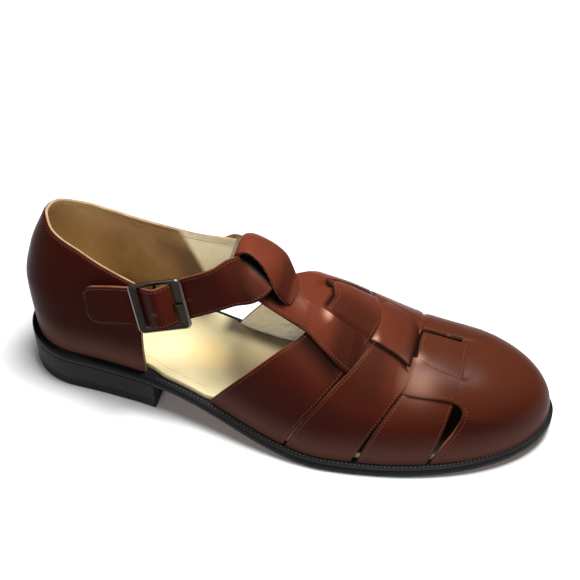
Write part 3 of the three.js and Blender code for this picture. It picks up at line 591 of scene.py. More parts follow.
def sock_tint(bare, colour):
    """A sock worn under the instep, with painted shade below the loop, by the inner wall and under the weave.
    """
    forward, aside = metres(bare, "X"), metres(bare, "Y")
    away = (forward - WORN_AT[0]) ** 2 + (aside - WORN_AT[1]) ** 2
    colour = (away.between(*WORN_AREA) * WORN_DEPTH).blend(colour, WORN_TONE)
    for ahead, across_foot, depth, tone in (SHADE_BELOW_LOOP, SHADE_BY_WALL):
        mask = forward.between(*ahead) * aside.between(*across_foot) * depth
        colour = mask.blend(colour, tone)
    # Painted deep shade where the sock runs in under the weave.
    inside = forward.between(*SOCK_COVERED_ALONG) * stored(bare, "above_sole").between(*SOCK_COVERED_RISE)
    return inside.blend(colour, SOCK_COVERED_TONE)


insole_loops = [rim(inset, rise, flare=lambda along, lip=lip: lip * open_waist(along))
                for inset, rise, lip in zip(*INSOLE_EDGE.values())]
sock_gold = hide("sock_cream_gold", (0.40, 0.33, 0.18), (0.45, 0.395, 0.245),
                 gloss=0.4, grain=0.0011, relief=0.15, coat=0.03, patch=0.06, shine=0.15, tint=sock_tint)
insole = make_piece("insole_sock", [slab(insole_loops)], [sock_gold], INSOLE_CREASE)
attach(insole, "root")
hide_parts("insole")
sock_thread = thread_finish("sock_thread_brown", (0.12, 0.075, 0.03), (0.22, 0.15, 0.07))
sock_line = rim(SOCK_STITCH_INSET, SOCK_STITCH_RISE, flare=lambda along: SOCK_STITCH_LIP * open_waist(along))
in_waist = (sock_line[:, 0] > SOCK_STITCH_FROM) & (sock_line[:, 0] < SOCK_STITCH_TO)
sock_line = sock_line[in_waist & (sock_line[:, 1] < 0)]
sew("sock_stitches", [facing_up(sock_line)], sock_thread, step=1.7, length=0.8, width=0.4, height=0.2)

# Vamp
# The woven front of the upper, in polished reddish-brown calf leather lined with cream leather.
# Three cross bands pass over and under three fingers that run from the centre bar into the toe cap;
# the centre bar's end folds back over the ankle strap as a loop and is sewn down.
VAMP_INSET = 4.0
FEATHER_RISE = 5.9
VAMP_SECTIONS = {
    "along": [100, 120, 140, 160, 180, 200, 220, 240, 262, 300],
    "ridge": [112, 105, 96.5, 87, 76, 62.4, 53.9, 50.1, 48.1, 44.7],
    "shift": [-4, -4, -4, -3.7, -3.3, -3, -2.5, -2, -1.4, 0],
    "square": [2, 2.02, 2.04, 2.08, 2.14, 2.2, 2.25, 2.3, 2.3, 2.3],
}
TOE_FROM = 248.0
TOE_POWER = 2.55
TIP_FROM = 200.0
TOE_INSET = 2.4
TIP_AT = SHOE_LENGTH - TOE_INSET
BAND_EDGES = {
    "round": [0, 0.15, 0.35, 0.5, 0.65, 0.85, 1],
    "a_rear": [178, 174.8, 166.8, 156.5, 145, 128.7, 116.5],
    "a_front": [201.6, 198.8, 193, 187.2, 180, 168.3, 160],
    "b_rear": [203, 201.1, 195.2, 189, 181.6, 170.4, 162.6],
    "b_front": [223.4, 224, 222, 217.4, 212.2, 204.5, 198.4],
    "c_rear": [224.5, 225, 223, 218.4, 213.4, 206.8, 202],
    "c_front": [249.8, 250.2, 249.4, 247.6, 245.7, 242.2, 238.6],
}
CAP_EDGE = {
    "round": [0, 0.41, 0.438, 0.455, 0.47, 0.5, 0.533, 0.57, 0.606, 0.715, 0.844, 0.958, 1],
    "along": [246, 246, 246.4, 249, 250.7, 252.2, 252.9, 252.9, 252.5, 250.2, 245.6, 242, 240.4],
}
WEAVE_ROUND = {
    "round": [-1, -0.8, -0.6, -0.42, -0.28, -0.22, -0.16, -0.1, 0.06, 0.075,
              0.09, 0.1, 0.13, 0.17, 0.3, 0.42, 0.6, 0.8, 1],
    "a": [-1, -1, -1, -1, -1, -1, -1, 0.8, 0.8, 0.4, -0.1, -0.4, -1, -1, -1, -1, -1, -1, -1],
    "b": [-1, -1, -0.1, 0.8, 0.8, 0.8, -0.8, -1, -1, -1, -0.8, -0.2, 0.7, 0.8, 0.8, 0.8, -0.1, -1, -1],
    "c": [-1, -1, -1, -1, -1, 0.6, 0.8, 0.8, 0.8, 0.3, -1.2, -1.6, -2, -1.4, -1, -1, -1, -1, -1],
}
FINGER_EDGES = {
    "along": [160, 167, 177, 190, 200, 214, 225, 235, 246, 252, 262],
    "outer": [-0.318, -0.322, -0.365, -0.42, -0.43, -0.428, -0.427, -0.427, -0.438, -0.48, -0.54],
    "outer_slit": [-0.125, -0.125, -0.13, -0.14, -0.142, -0.135, -0.13, -0.17, -0.215, -0.24, -0.26],
    "centre_outer": [-0.125, -0.125, -0.13, -0.138, -0.141, -0.17, -0.235, -0.235, -0.235, -0.235, -0.235],
    "centre_inner": [0.07, 0.072, 0.19, 0.26, 0.29, 0.25, 0.07, 0.07, 0.07, 0.07, 0.07],
    "inner_slit": [0.07, 0.072, 0.2, 0.27, 0.3, 0.26, 0.103, 0.107, 0.112, 0.112, 0.11],
    "inner": [0.1, 0.28, 0.39, 0.47, 0.5, 0.48, 0.42, 0.42, 0.45, 0.5, 0.56],
}
SLIT_HALF = 0.008
# The hole at the inner slit's start is painted as a disc of dark shade; the band's stitches stop beside it.
SLIT_HOLE = (173.6, 0.085)
# Spots of painted highlight on the weave, lighter where light glints off the leather.
PAINTED_HIGHLIGHTS = {
    "along": [176.8, 228.5, 202, 225.6],
    "around": [-0.15, -0.325, -0.12, -0.14],
    "size": [2.6, 8.5, 1.6, 2.4],
    "depth": [0.65, 0.27, 0.5, 0.35],
}
FINGER_FROM = 164.0
FINGER_TO = 252.5
WEAVE_ALONG = {
    "along": [150, 160, 167, 190, 198, 203, 220, 221.5, 223.2, 225, 227, 250, 292],
    "sides": [-1, -0.6, 0.8, 0.8, -1, -1, -1, -0.6, 0.2, 0.7, 0.8, 0.8, -1],
    "centre": [-1, -1, -1, -1, -1, 0.8, 0.8, 0.7, -0.6, -2, -1.6, -1, -1],
}
BAR_EDGES = {
    "along": [129.5, 134, 140, 150, 155, 159, 163, 168, 174],
    "outer": [-0.18, -0.25, -0.305, -0.315, -0.317, -0.318, -0.32, -0.325, -0.35],
    "inner": [0.16, 0.16, 0.14, 0.05, 0, 0.08, 0.22, 0.28, 0.31],
}
LOOP_FOLD = {
    "along": [134, 130.5, 128, 126.4, 126.8, 129.8, 135.5, 142.5, 148.6, 152.8, 156, 158.3, 159.8],
    "lift": [-1, -1, -0.2, 2, 4.6, 6.5, 7.2, 7, 5.6, 3, 1.2, 0.8, 0.8],
    "outer": [-0.24, -0.19, -0.155, -0.14, -0.125, -0.106, -0.117, -0.157, -0.21, -0.23,
              -0.234, -0.215, -0.15],
    "inner": [0.16, 0.16, 0.16, 0.165, 0.155, 0.14, 0.125, 0.105, 0.075, 0.035, -0.005, -0.035, -0.085],
    "curl": [0, 0, 0, 0.6, 1.8, 2.8, 2.8, 2.2, 1, 0.3, 0, 0, 0],
}
FACE_OUT = 1.1
FACE_IN = 0.9
EDGE_SOFT = 0.7
EDGE_DROP = 0.35
CROWN = 0.2
BAND_SPREAD = {"a": (0.0, 0.7), "b": (0.7, 0.2), "c": (0.0, 0.0)}
SEAM_SINK = 0.3
STITCH_INSET = 1.5
STITCH_LIFT = 0.05
LOW_LEVEL = -1.0
AROUND_MM = 68.0
TOE_INSET_RAMP = (225, 285)
ALONG_STEP = 0.3
AROUND_STEP = 0.01
TIP_CLEAR = 0.01
TIP_BLUNT = 0.05
EDGE_PLACES = np.array([0, 0.2, 0.5, 1])
SLIT_HOLE_EDGE = (2.2, 3.0)

ridge_height = curve(VAMP_SECTIONS, "along", "ridge")
ridge_shift = curve(VAMP_SECTIONS, "along", "shift")
section_square = curve(VAMP_SECTIONS, "along", "square")


def step_down(value, low, high):
    """A soft step from 1 at low to 0 at high."""
    return 1 - step_up(value, low, high)


def window(value, up_from, up_to, down_from, down_to):
    """1 between two soft steps, and 0 outside them."""
    return step_up(value, up_from, up_to) * step_down(value, down_from, down_to)


def vamp_point(along, around):
    """A place on the upper's outer face: around is -1 and 1 at the welt and 0 on the ridge."""
    along, around = np.broadcast_arrays(np.asarray(along, float), np.asarray(around, float))
    foot = underside(along) + FEATHER_RISE
    toe = np.clip((along - TOE_FROM) / (TIP_AT - TOE_FROM), 0, 1)
    high = (ridge_height(along) - foot) * (1 - toe ** TOE_POWER) ** (1 / TOE_POWER)
    tip = np.clip((along - TIP_FROM) / (TIP_AT - TIP_FROM), 0, 1)
    crest = ridge_shift(along) * np.sqrt(1 - tip * tip)
    inset = VAMP_INSET + (TOE_INSET - VAMP_INSET) * step_up(along, *TOE_INSET_RAMP)
    edge = np.where(around < 0, -half_width(along, True, inset), half_width(along, False, inset))
    angle = (1 - np.abs(around)) * np.pi / 2
    power = 2 / section_square(along)
    side = crest + (edge - crest) * np.maximum(np.cos(angle), 0) ** power
    return np.stack([along, side, foot + high * np.sin(angle) ** power], -1)


def unit(vectors):
    """The same directions at length 1."""
    return vectors / np.maximum(np.linalg.norm(vectors, axis=-1, keepdims=True), 1e-12)


def vamp_normal(along, around):
    """The direction straight out of the vamp; it points ahead at the very tip."""
    along, around = np.broadcast_arrays(np.asarray(along, float), np.asarray(around, float))
    further = np.minimum(along + ALONG_STEP, TIP_AT - TIP_CLEAR)
    ahead = vamp_point(further, around) - vamp_point(along - ALONG_STEP, around)
    inward, outward = np.minimum(around + AROUND_STEP, 1), np.maximum(around - AROUND_STEP, -1)
    facing = unit(np.cross(ahead, vamp_point(along, inward) - vamp_point(along, outward)))
    return np.where((along > TIP_AT - TIP_BLUNT)[..., None], [1.0, 0.0, 0.0], facing)


def on_vamp(along, around, lift):
    """A place lifted off the upper's outer face."""
    return vamp_point(along, around) + vamp_normal(along, around) * np.asarray(lift)[..., None]


def across(width, count=14):
    """Places over a strap's width, 0 to 1, closer at its soft edges, with how far each edge falls away."""
    soft = EDGE_SOFT * EDGE_PLACES
    middle = np.linspace(EDGE_SOFT, width - EDGE_SOFT, count)[1:-1]
    places = np.concatenate([soft, middle, width - soft[::-1]])
    near = np.minimum(places, width - places)
    drop = EDGE_DROP * np.clip(1 - near / EDGE_SOFT, 0, 1) ** 2
    return places / width, drop


def crown(t):
    """How far a strap swells over its width."""
    return CROWN * (1 - (2 * t - 1) ** 2)


def shell(outer, inner, shade=0.0, inner_shade=0.0):
    """A closed wall between an outer and an inner face: tag 0 outside, 1 inside, 2 on the cut edges."""
    shade = np.broadcast_to(shade, outer.shape[:2])
    rims = [(np.stack([outer[:, k], inner[:, k]], 1), 2, shade[:, k][:, None]) for k in (0, -1)]
    rims += [(np.stack([outer[k], inner[k]], 1), 2, shade[k][:, None]) for k in (0, -1)]
    return gather([(outer, 0, shade), (inner, 1, inner_shade)] + rims)


def from_spot(along, around, spot_along, spot_around):
    """Distance in millimetres from a place on the vamp."""
    return np.hypot(along - spot_along, (around - spot_around) * AROUND_MM)


def strap_sheet(along, around, lift, fall, shade=0.0):
    """A strap of the weave over a grid of places; fall lowers its outer face at the edges."""
    # The hole where the inner slit starts is painted as a disc of dark shade, and the spots below are painted
    # highlights, stored as negative shade.
    shade = np.maximum(shade, step_down(from_spot(along, around, *SLIT_HOLE), *SLIT_HOLE_EDGE))
    for spot_along, spot_around, size, depth in zip(*PAINTED_HIGHLIGHTS.values()):
        shade = shade - depth * np.exp(-(from_spot(along, around, spot_along, spot_around) / size) ** 2)
    outer = on_vamp(along, around, lift + FACE_OUT - fall)
    inner = on_vamp(along, around, lift - FACE_IN)
    return shell(outer, inner, shade)


def stitch_row(along, around, lift):
    """A row of stitches on a strap of the weave: their places and outward directions."""
    return on_vamp(along, around, lift + FACE_OUT + STITCH_LIFT), vamp_normal(along, around)


finger_edge = {name: curve(FINGER_EDGES, "along", name) for name in FINGER_EDGES if name != "along"}
band_edge = {name: curve(BAND_EDGES, "round", name) for name in BAND_EDGES if name != "round"}
side_lift = curve(WEAVE_ALONG, "along", "sides")
centre_lift = curve(WEAVE_ALONG, "along", "centre")

A_FOLD_FROM = -0.05
A_FOLD_SLIT = 0.09
A_FOLD_TO = 0.46
# Painted shadow under the outer finger and painted shade on the first band's square; painted shade on the
# second band's outer half and by its fold under the centre finger, and on the third band beside the inner
# slit.
A_SHADOW = {"along": (156, 168, 184, 194), "around": (-0.22, -0.17), "below": (0.01, 0.19), "depth": 0.93}
A_SQUARE_SHADE = {"around": (-0.2, -0.13, -0.04, 0.16), "depth": 0.55}
B_FOLDS = {
    "centre_outer": (-0.152, (-0.34, -0.26, -0.1, -0.04)),
    "centre_inner": (0.13, (0.02, 0.06, 0.34, 0.46)),
}
B_SHADOW = {
    "around": (-0.66, -0.42), "along": (205, 217), "depth": 0.45,
    "fold": (-0.04, -0.012), "end": (0, 0.05),
}
C_FOLDS = {"outer_slit": (-0.2, (-0.4, -0.3, -0.1, -0.02))}
C_SHADOW = (0.068, 0.085, 0.3, 0.4)


def follow(along, around, folds):
    """Shifts places so that each fold of a band, drawn at its home, follows a finger's slanting edge."""
    bend = around
    for name, (home, ramp) in folds.items():
        bend = bend - (finger_edge[name](along) - home) * window(around, *ramp)
    return bend


def dive(letter, along, around):
    """Where a band bends down beside the fingers, following their edges, and the painted shade on it there.
    """
    if letter == "a":
        slit = finger_edge["inner_slit"](along)
        to_slit = np.clip((around - A_FOLD_FROM) / (slit - A_FOLD_FROM), 0, 1)
        past_slit = np.clip((around - slit) / (A_FOLD_TO - slit), 0, 1)
        bend = np.minimum(around, A_FOLD_FROM) + (A_FOLD_SLIT - A_FOLD_FROM) * to_slit
        bend = bend + (A_FOLD_TO - A_FOLD_SLIT) * past_slit + np.maximum(around - A_FOLD_TO, 0)
        below = step_down(finger_edge["outer"](along) - around, *A_SHADOW["below"])
        shadow = window(along, *A_SHADOW["along"]) * step_down(around, *A_SHADOW["around"]) * below
        square = window(around, *A_SQUARE_SHADE["around"])
        return bend, A_SHADOW["depth"] * shadow + A_SQUARE_SHADE["depth"] * square
    if letter == "b":
        upper = step_up(around, *B_SHADOW["around"]) * step_down(along, *B_SHADOW["along"])
        fold = step_up(around - finger_edge["centre_outer"](along), *B_SHADOW["fold"])
        shadow = np.maximum(B_SHADOW["depth"] * upper, fold) * step_down(around, *B_SHADOW["end"])
        return follow(along, around, B_FOLDS), shadow
    return follow(along, around, C_FOLDS), window(around, *C_SHADOW)


BAND_WIDTH = 28
BAND_STATIONS = 181
BAND_ROW_STATIONS = 160
ROW_END = 0.985
HOLE_CLEAR = 0.045
C_TUCK = (0.15, 0.3)
C_ROW_SUNK = 0.8


def band(letter):
    """A cross band from welt to welt, and its two rows of stitches, which stop beside the slit's hole."""
    rear, front = band_edge[letter + "_rear"], band_edge[letter + "_front"]
    lift = curve(WEAVE_ROUND, "round", letter)
    t, drop = across(BAND_WIDTH)
    around = np.linspace(-1, 1, BAND_STATIONS)[:, None]
    rear_spread, front_spread = BAND_SPREAD[letter]
    first, last = rear(abs(around)) - rear_spread, front(abs(around)) + front_spread
    along = first + (last - first) * t
    around = around + 0 * along
    # dive gives the bend and the painted shade that the band's sheet stores.
    bend, level = dive(letter, along, around)
    tucked = 1.0 if letter == "c" else 0.0
    middle = tucked * step_down(abs(around), *C_TUCK)
    drop = drop * (1 - middle * (t > 0.5))
    sheet = strap_sheet(along, around, lift(bend), drop - crown(t) + middle * t ** 3, level)
    rows = []
    halves = (-ROW_END, SLIT_HOLE[1] - HOLE_CLEAR), (SLIT_HOLE[1] + HOLE_CLEAR, ROW_END)
    rear_row = rear, STITCH_INSET - rear_spread, 0.0
    front_row = front, front_spread - STITCH_INSET, C_ROW_SUNK
    for edge, inset, sunk in (rear_row, front_row):
        for half in halves:
            place = np.linspace(*half, BAND_ROW_STATIONS)
            line = edge(abs(place)) + inset
            bend, _ = dive(letter, line, place)
            low = tucked * sunk * step_down(abs(place), *C_TUCK)
            rows.append(stitch_row(line, place, lift(bend) - low))
    return sheet, rows


SLOT = {"around": (-0.125, -0.1, 0.075, 0.09), "along": (-3.4, -0.8, 3, 8), "depth": 0.9}
FINGER_WIDTH = 19
FINGER_STATIONS = 180
FINGER_SINK = (FINGER_FROM, 171)
CAP_SINK = (246, FINGER_TO)
CAP_SINK_DEPTH = 0.25
FINGER_CROWN = (166, 176, 240, 248)
CENTRE_SHADE = (215.5, 224.5)
CENTRE_SHADE_DEPTH = 0.85
SIDE_SHADE = (176, 186, 202, 216)
SIDE_SHADE_DEPTH = 0.6
FINGER_ROW = (172, 246, 200)
FINGER_ROW_INSET = 0.028


def slit_shade(along, around):
    """Painted shade in the slot where the centre bar goes down behind the first band."""
    past_edge = along - band_edge["a_rear"](abs(around))
    return SLOT["depth"] * window(around, *SLOT["around"]) * window(past_edge, *SLOT["along"])


def finger(low_edge, high_edge, low_gap, high_gap, lift, stitched):
    """A finger of the weave, sunk at its ends into the centre bar and under the toe cap."""
    t, drop = across(FINGER_WIDTH)
    along = np.linspace(FINGER_FROM, FINGER_TO, FINGER_STATIONS)[:, None]
    low, high = finger_edge[low_edge](along) + low_gap, finger_edge[high_edge](along) - high_gap
    around = low + (high - low) * t
    along = along + 0 * around
    sink = SEAM_SINK * step_down(along, *FINGER_SINK) + CAP_SINK_DEPTH * step_up(along, *CAP_SINK)
    swell = crown(t) * window(along, *FINGER_CROWN)
    # Painted shade darkens the centre finger's end under the third band and its slot, and the side fingers'
    # middles.
    if lift is centre_lift:
        drop = drop * (t < 0.5)
        shade = CENTRE_SHADE_DEPTH * step_up(along, *CENTRE_SHADE) + slit_shade(along, around)
    else:
        shade = SIDE_SHADE_DEPTH * window(along, *SIDE_SHADE)
    sheet = strap_sheet(along, around, lift(along), drop - swell + sink, shade)
    line = np.linspace(*FINGER_ROW)
    places = [finger_edge[name](line) + inset for name, inset in stitched]
    return sheet, [stitch_row(line, place, lift(line)) for place in places]


WINDOW_SOFT = (249, 268)
WINDOW_SOFT_WIDTH = 0.45
WINDOW_REACH = (240, 246)
WINDOW_REACH_WIDTH = 0.07
MARGIN_FAR = 0.03
MARGIN_NEAR = 0.02
MARGIN_SLIT = 0.01
CAP_SIDE = (0, 0.4, 0.62, 1)
CAP_SIDE_STATIONS = (40, 45, 40)
CAP_NEAR = [0, 0.004, 0.012, 0.024]
CAP_ROWS = 70
CAP_SWELL = 0.75
CAP_SWELL_AROUND = (0.2, 0.5)
CAP_SWELL_ALONG = (250, 285)
CAP_FREE = (0.425, 0.45)
CAP_SUNK = 0.12
CAP_SUNK_ALONG = (246, 252)
CAP_ROW = (0.485, ROW_END, 150)
CAP_ROW_INSET = 2.2


def finger_window(along, around):
    """1 where a side finger runs into the leather here, and 0 elsewhere, more softly toward the toe."""
    edges = {name: drawn(along) for name, drawn in finger_edge.items()}
    soft = WINDOW_SOFT_WIDTH * step_up(along, *WINDOW_SOFT)
    reach = WINDOW_REACH_WIDTH * step_up(along, *WINDOW_REACH)
    edge, slit = edges["outer"], edges["outer_slit"]
    outer = step_up(around, edge - MARGIN_FAR - 3 * reach, edge + MARGIN_NEAR - reach)
    outer = outer * step_down(around, slit - MARGIN_FAR - soft / 2, slit + MARGIN_SLIT + soft)
    edge, slit = edges["inner"], edges["inner_slit"]
    inner = step_up(around, slit - MARGIN_SLIT - soft / 2, slit + MARGIN_FAR + soft)
    inner = inner * step_down(around, edge - MARGIN_NEAR + reach, edge + MARGIN_FAR + 3 * reach)
    return np.maximum(outer, inner)


def bar_level(along, window_along, around):
    """The lift of leather that is level with a side finger where that runs into it, and low elsewhere."""
    return LOW_LEVEL + (side_lift(along) - LOW_LEVEL) * finger_window(window_along, around)


def toe_cap():
    """The plain cap over the toes; its stitched rear edge rounds a corner into each side finger."""
    rear = curve(CAP_EDGE, "round", "along")
    spans = zip(CAP_SIDE, CAP_SIDE[1:], CAP_SIDE_STATIONS)
    side = np.concatenate([[0]] + [np.linspace(*span)[1:] for span in spans])
    around = np.concatenate([-side[:0:-1], side])[None, :]
    t = np.concatenate([CAP_NEAR, np.linspace(CAP_NEAR[-1], 1, CAP_ROWS)[1:]])[:, None]
    start = rear(abs(around))
    along = start + (TIP_AT - start) * np.sin(np.pi / 2 * t)
    swell = step_down(abs(around), *CAP_SWELL_AROUND) * step_down(along, *CAP_SWELL_ALONG)
    base = LOW_LEVEL + CAP_SWELL * swell
    lift = base + (side_lift(along) - base) * finger_window(along, around)
    drop = EDGE_DROP * np.clip(1 - (along - start) / EDGE_SOFT, 0, 1) ** 2
    free = step_up(abs(around), *CAP_FREE)
    sunk = CAP_SUNK * step_down(along, *CAP_SUNK_ALONG)
    sheet = strap_sheet(along, around + 0 * along, lift, drop * free + sunk * (1 - free))
    rows = []
    for side in (-1, 1):
        place = side * np.linspace(*CAP_ROW)
        line = rear(abs(place)) + CAP_ROW_INSET
        rows.append(stitch_row(line, place, bar_level(line, line, place)))
    return sheet, rows


BAR_WIDTH = 24
BAR_ALONG = (129.5, 175, 90)
BAR_SPLITS = 160
BAR_SINK = (168, 175)
BAR_SLIT_MARGIN = 0.06
BAR_SLIT_END = (0.25, 0.3)
BELOW_LOOP_AROUND = (-0.29, -0.25)
BELOW_LOOP_ALONG = (140, 143, 153.5, 157.5)
BELOW_LOOP_DEPTH = 0.97
BAR_ROW = (140, 172, 100)
BAR_ROW_INSET = 0.03


def centre_bar():
    """The bar from the ankle strap to the weave, which splits into the three fingers."""
    outer, inner = curve(BAR_EDGES, "along", "outer"), curve(BAR_EDGES, "along", "inner")
    t, drop = across(BAR_WIDTH)
    along = np.linspace(*BAR_ALONG)[:, None]
    around = outer(along) + (inner(along) - outer(along)) * t
    slit = finger_edge["inner_slit"](along)
    by_slit = step_up(around, slit - BAR_SLIT_MARGIN, slit) * step_down(around, *BAR_SLIT_END)
    level = np.maximum(finger_window(np.maximum(along, BAR_SPLITS), around), by_slit)
    lift = LOW_LEVEL + (side_lift(along) - LOW_LEVEL) * level
    sink = SEAM_SINK * step_up(along, *BAR_SINK)
    # Painted shadow beside the loop's outer edge, and painted shade in the slot.
    below_loop = step_up(around, *BELOW_LOOP_AROUND) * window(along, *BELOW_LOOP_ALONG)
    shade = np.maximum(BELOW_LOOP_DEPTH * below_loop, slit_shade(along, around))
    sheet = strap_sheet(along + 0 * around, around, lift, drop + sink, shade)
    line = np.linspace(*BAR_ROW)
    place = outer(line) + BAR_ROW_INSET
    return sheet, [stitch_row(line, place, bar_level(line, np.maximum(line, BAR_SPLITS), place))]


def flowing(places, per_span):
    """A smooth run through places in any number of columns, by centripetal spans."""
    places = np.asarray(places, float)
    padded = np.concatenate([2 * places[:1] - places[1:2], places, 2 * places[-1:] - places[-2:-1]])
    gaps = np.maximum(np.sqrt(np.linalg.norm(np.diff(padded, axis=0), axis=1)), 1e-4)
    t = np.arange(per_span)[:, None] / per_span
    out = []
    for k in range(len(places) - 1):
        p0, p1, p2, p3 = padded[k:k + 4]
        d0, d1, d2 = gaps[k:k + 3]
        m1 = ((p1 - p0) / d0 - (p2 - p0) / (d0 + d1) + (p2 - p1) / d1) * d1
        m2 = ((p2 - p1) / d1 - (p3 - p1) / (d1 + d2) + (p3 - p2) / d2) * d1
        ends = p1 * (2 * t ** 3 - 3 * t ** 2 + 1) + p2 * (3 * t ** 2 - 2 * t ** 3)
        out.append(ends + m1 * (t ** 3 - 2 * t ** 2 + t) + m2 * (t ** 3 - t ** 2))
    out.append(places[-1:])
    return np.concatenate(out)


LOOP_WIDTH = 26
LOOP_COLUMNS = 18
LOOP_PER_SPAN = 6
LOOP_HALF_THICK = 0.9
LOOP_DIM = (140, 154)
LOOP_DIM_DEPTH = 0.35
LOOP_INSIDE_SHADE = 0.95
LOOP_ROW_FROM_END = 9
LOOP_ROW_COLUMNS = slice(3, -3)


def fold_loop():
    """The end of the centre bar, folded back over the ankle strap and sewn down at its tip."""
    fold = flowing(np.stack(list(LOOP_FOLD.values()), -1), LOOP_PER_SPAN)
    along, lift, outer, inner, curl = (fold[:, k:k + 1] for k in range(5))
    t, drop = across(LOOP_WIDTH, LOOP_COLUMNS)
    around = outer + (inner - outer) * t
    along = along + 0 * around
    middle = on_vamp(along, around, lift + curl * (1 - t) ** 2)
    run = unit(np.gradient(middle, axis=0))
    over = unit(np.gradient(vamp_point(along, around), axis=1))
    out = unit(np.cross(run, over))
    # Painted shade darkens the loop toward its tip, and its inside face is painted in deep shade.
    dim = LOOP_DIM_DEPTH * step_up(along, *LOOP_DIM)
    outside = middle + out * (LOOP_HALF_THICK - drop)[None, :, None]
    sheet = shell(outside, middle - out * LOOP_HALF_THICK, dim, LOOP_INSIDE_SHADE)
    row = len(fold) - LOOP_ROW_FROM_END, LOOP_ROW_COLUMNS
    return sheet, [(middle[row] + out[row] * (LOOP_HALF_THICK + STITCH_LIFT), out[row])]


CREAM = ((0.78, 0.68, 0.45, 1), (1.0, 0.94, 0.71, 1))
CREAM_CLOUD_SHARE = 0.4
CREAM_TOP_RISE = (65.0, 77.0)
CREAM_TOP = (0.58, 0.50, 0.32, 1)
HEEL_BROWN = ((0.24, 0.135, 0.054, 1), (0.36, 0.215, 0.095, 1))
HEEL_BACK_ALONG = (-0.125, -0.1)
HEEL_BACK = (0.50, 0.33, 0.155, 1)
LINING_SHINE = 0.15
LINING_GLOSS = 0.5
LINING_GLOSS_RANGE = 0.2
LINING_PATCH = 0.03
LINING_PATCH_DETAIL = 3.0
LINING_SLANT = 0.0004
LINING_DIM_ALONG = (-0.068, -0.044)
LINING_DIM_RISE = (62.0, 50.0)
LINING_DIM_DEPTH = 0.8
LINING_DIM = (0.09, 0.05, 0.023, 1)
CREAM_ALONG = (-0.0385, -0.0325)
UNDER_WEAVE_ALONG = (0.012, 0.035)
UNDER_WEAVE_RISE = (9.0, 17.0)
UNDER_WEAVE = (0.012, 0.008, 0.005, 1)
WRINKLE_SIZE = 0.0035
WRINKLE_DETAIL = 4.0
WRINKLE_DEPTH = 0.0012
WRINKLE_RELIEF = 0.8
# Painted shade: the calf darkens toward the toe.
TOE_DARK_ALONG = (0.02, 0.1)
TOE_DARK_DEPTH = 0.78
TOE_DARK = (0.028, 0.0075, 0.0036, 1)
# Painted shade on faces that stand steep, away from the overhead light.
STEEP_SHADE_UPWARD = (0.2, 0.97)
STEEP_SHADE = (0.026, 0.0035, 0.0018, 1)
# Painted shade: the calf darkens toward the heel.
HEEL_DARK_ALONG = (-0.04, -0.1)
HEEL_DARK_DEPTH = 0.4
HEEL_DARK = (0.012, 0.0014, 0.0008, 1)
# Painted reflection of the white floor, a greyer sheen just above the welt.
FLOOR_SHEEN_RISE = (3.0, 30.0)
FLOOR_SHEEN = (0.078, 0.0315, 0.0238, 1)


def lining_finish():
    """Soft lining leather: brown round the heel, cream further forward, with painted shade along the brown's
    front edge and painted deep shade under the weave.
    """
    material, shader, bare = new_finish("lining_cream", {"Specular IOR Level": LINING_SHINE})
    forward, high = metres(bare, "X"), stored(bare, "above_sole")
    aslant = forward + high * LINING_SLANT
    cloud = spots(bare, LINING_PATCH, LINING_PATCH_DETAIL).between(*CLOUD_RANGE)
    wrinkle = spots(bare, WRINKLE_SIZE, WRINKLE_DETAIL)
    cream = (cloud * CREAM_CLOUD_SHARE + wrinkle * (1 - CREAM_CLOUD_SHARE)).blend(*CREAM)
    cream = high.between(*CREAM_TOP_RISE).blend(cream, CREAM_TOP)
    brown = forward.between(*HEEL_BACK_ALONG).blend(HEEL_BACK, cloud.blend(*HEEL_BROWN))
    # Painted shade on the brown lining near its front edge, deeper lower down.
    dim = aslant.between(*LINING_DIM_ALONG) * high.between(*LINING_DIM_RISE) * LINING_DIM_DEPTH
    brown = dim.blend(brown, LINING_DIM)
    colour = aslant.between(*CREAM_ALONG).blend(brown, cream)
    inside = forward.between(*UNDER_WEAVE_ALONG) * high.between(*UNDER_WEAVE_RISE)
    colour = inside.blend(colour, UNDER_WEAVE)
    lead(stored(bare, "shade").blend(colour, DEEP_SHADE), shader, "Base Color")
    lead(wrinkle * LINING_GLOSS_RANGE + LINING_GLOSS, shader, "Roughness")
    sockets = {"Height": wrinkle, "Strength": WRINKLE_RELIEF, "Distance": WRINKLE_DEPTH}
    lead(bare.node("ShaderNodeBump", inputs=sockets), shader, "Normal")
    return material


def calf_tint(bare, colour):
    """Calf with painted shade toward the toe, the heel and on steep faces, and a painted floor reflection
    just above the welt.
    """
    forward = metres(bare, "X")
    colour = (forward.between(*TOE_DARK_ALONG) * TOE_DARK_DEPTH).blend(colour, TOE_DARK)
    colour = stored(bare, "upward").between(*STEEP_SHADE_UPWARD).blend(STEEP_SHADE, colour)
    colour = (forward.between(*HEEL_DARK_ALONG) * HEEL_DARK_DEPTH).blend(colour, HEEL_DARK)
    return stored(bare, "above_sole").between(*FLOOR_SHEEN_RISE).blend(FLOOR_SHEEN, colour)


UPPER_CREASE = 50
calf_brown = hide("upper_calf_brown", (0.062, 0.0136, 0.0066), (0.086, 0.0192, 0.0094),
                  gloss=0.33, grain=0.0007, relief=0.08, patch=0.05, shine=0.025, tint=calf_tint)
lining_leather = lining_finish()
cut_edge = hide("cut_edge_tan", (0.062, 0.022, 0.011), (0.12, 0.05, 0.027),
                gloss=0.6, grain=0.0006, relief=0.4, patch=0.01, shine=0.05)
upper_thread = thread_finish("upper_thread_tan", (0.065, 0.021, 0.010), (0.12, 0.046, 0.022))

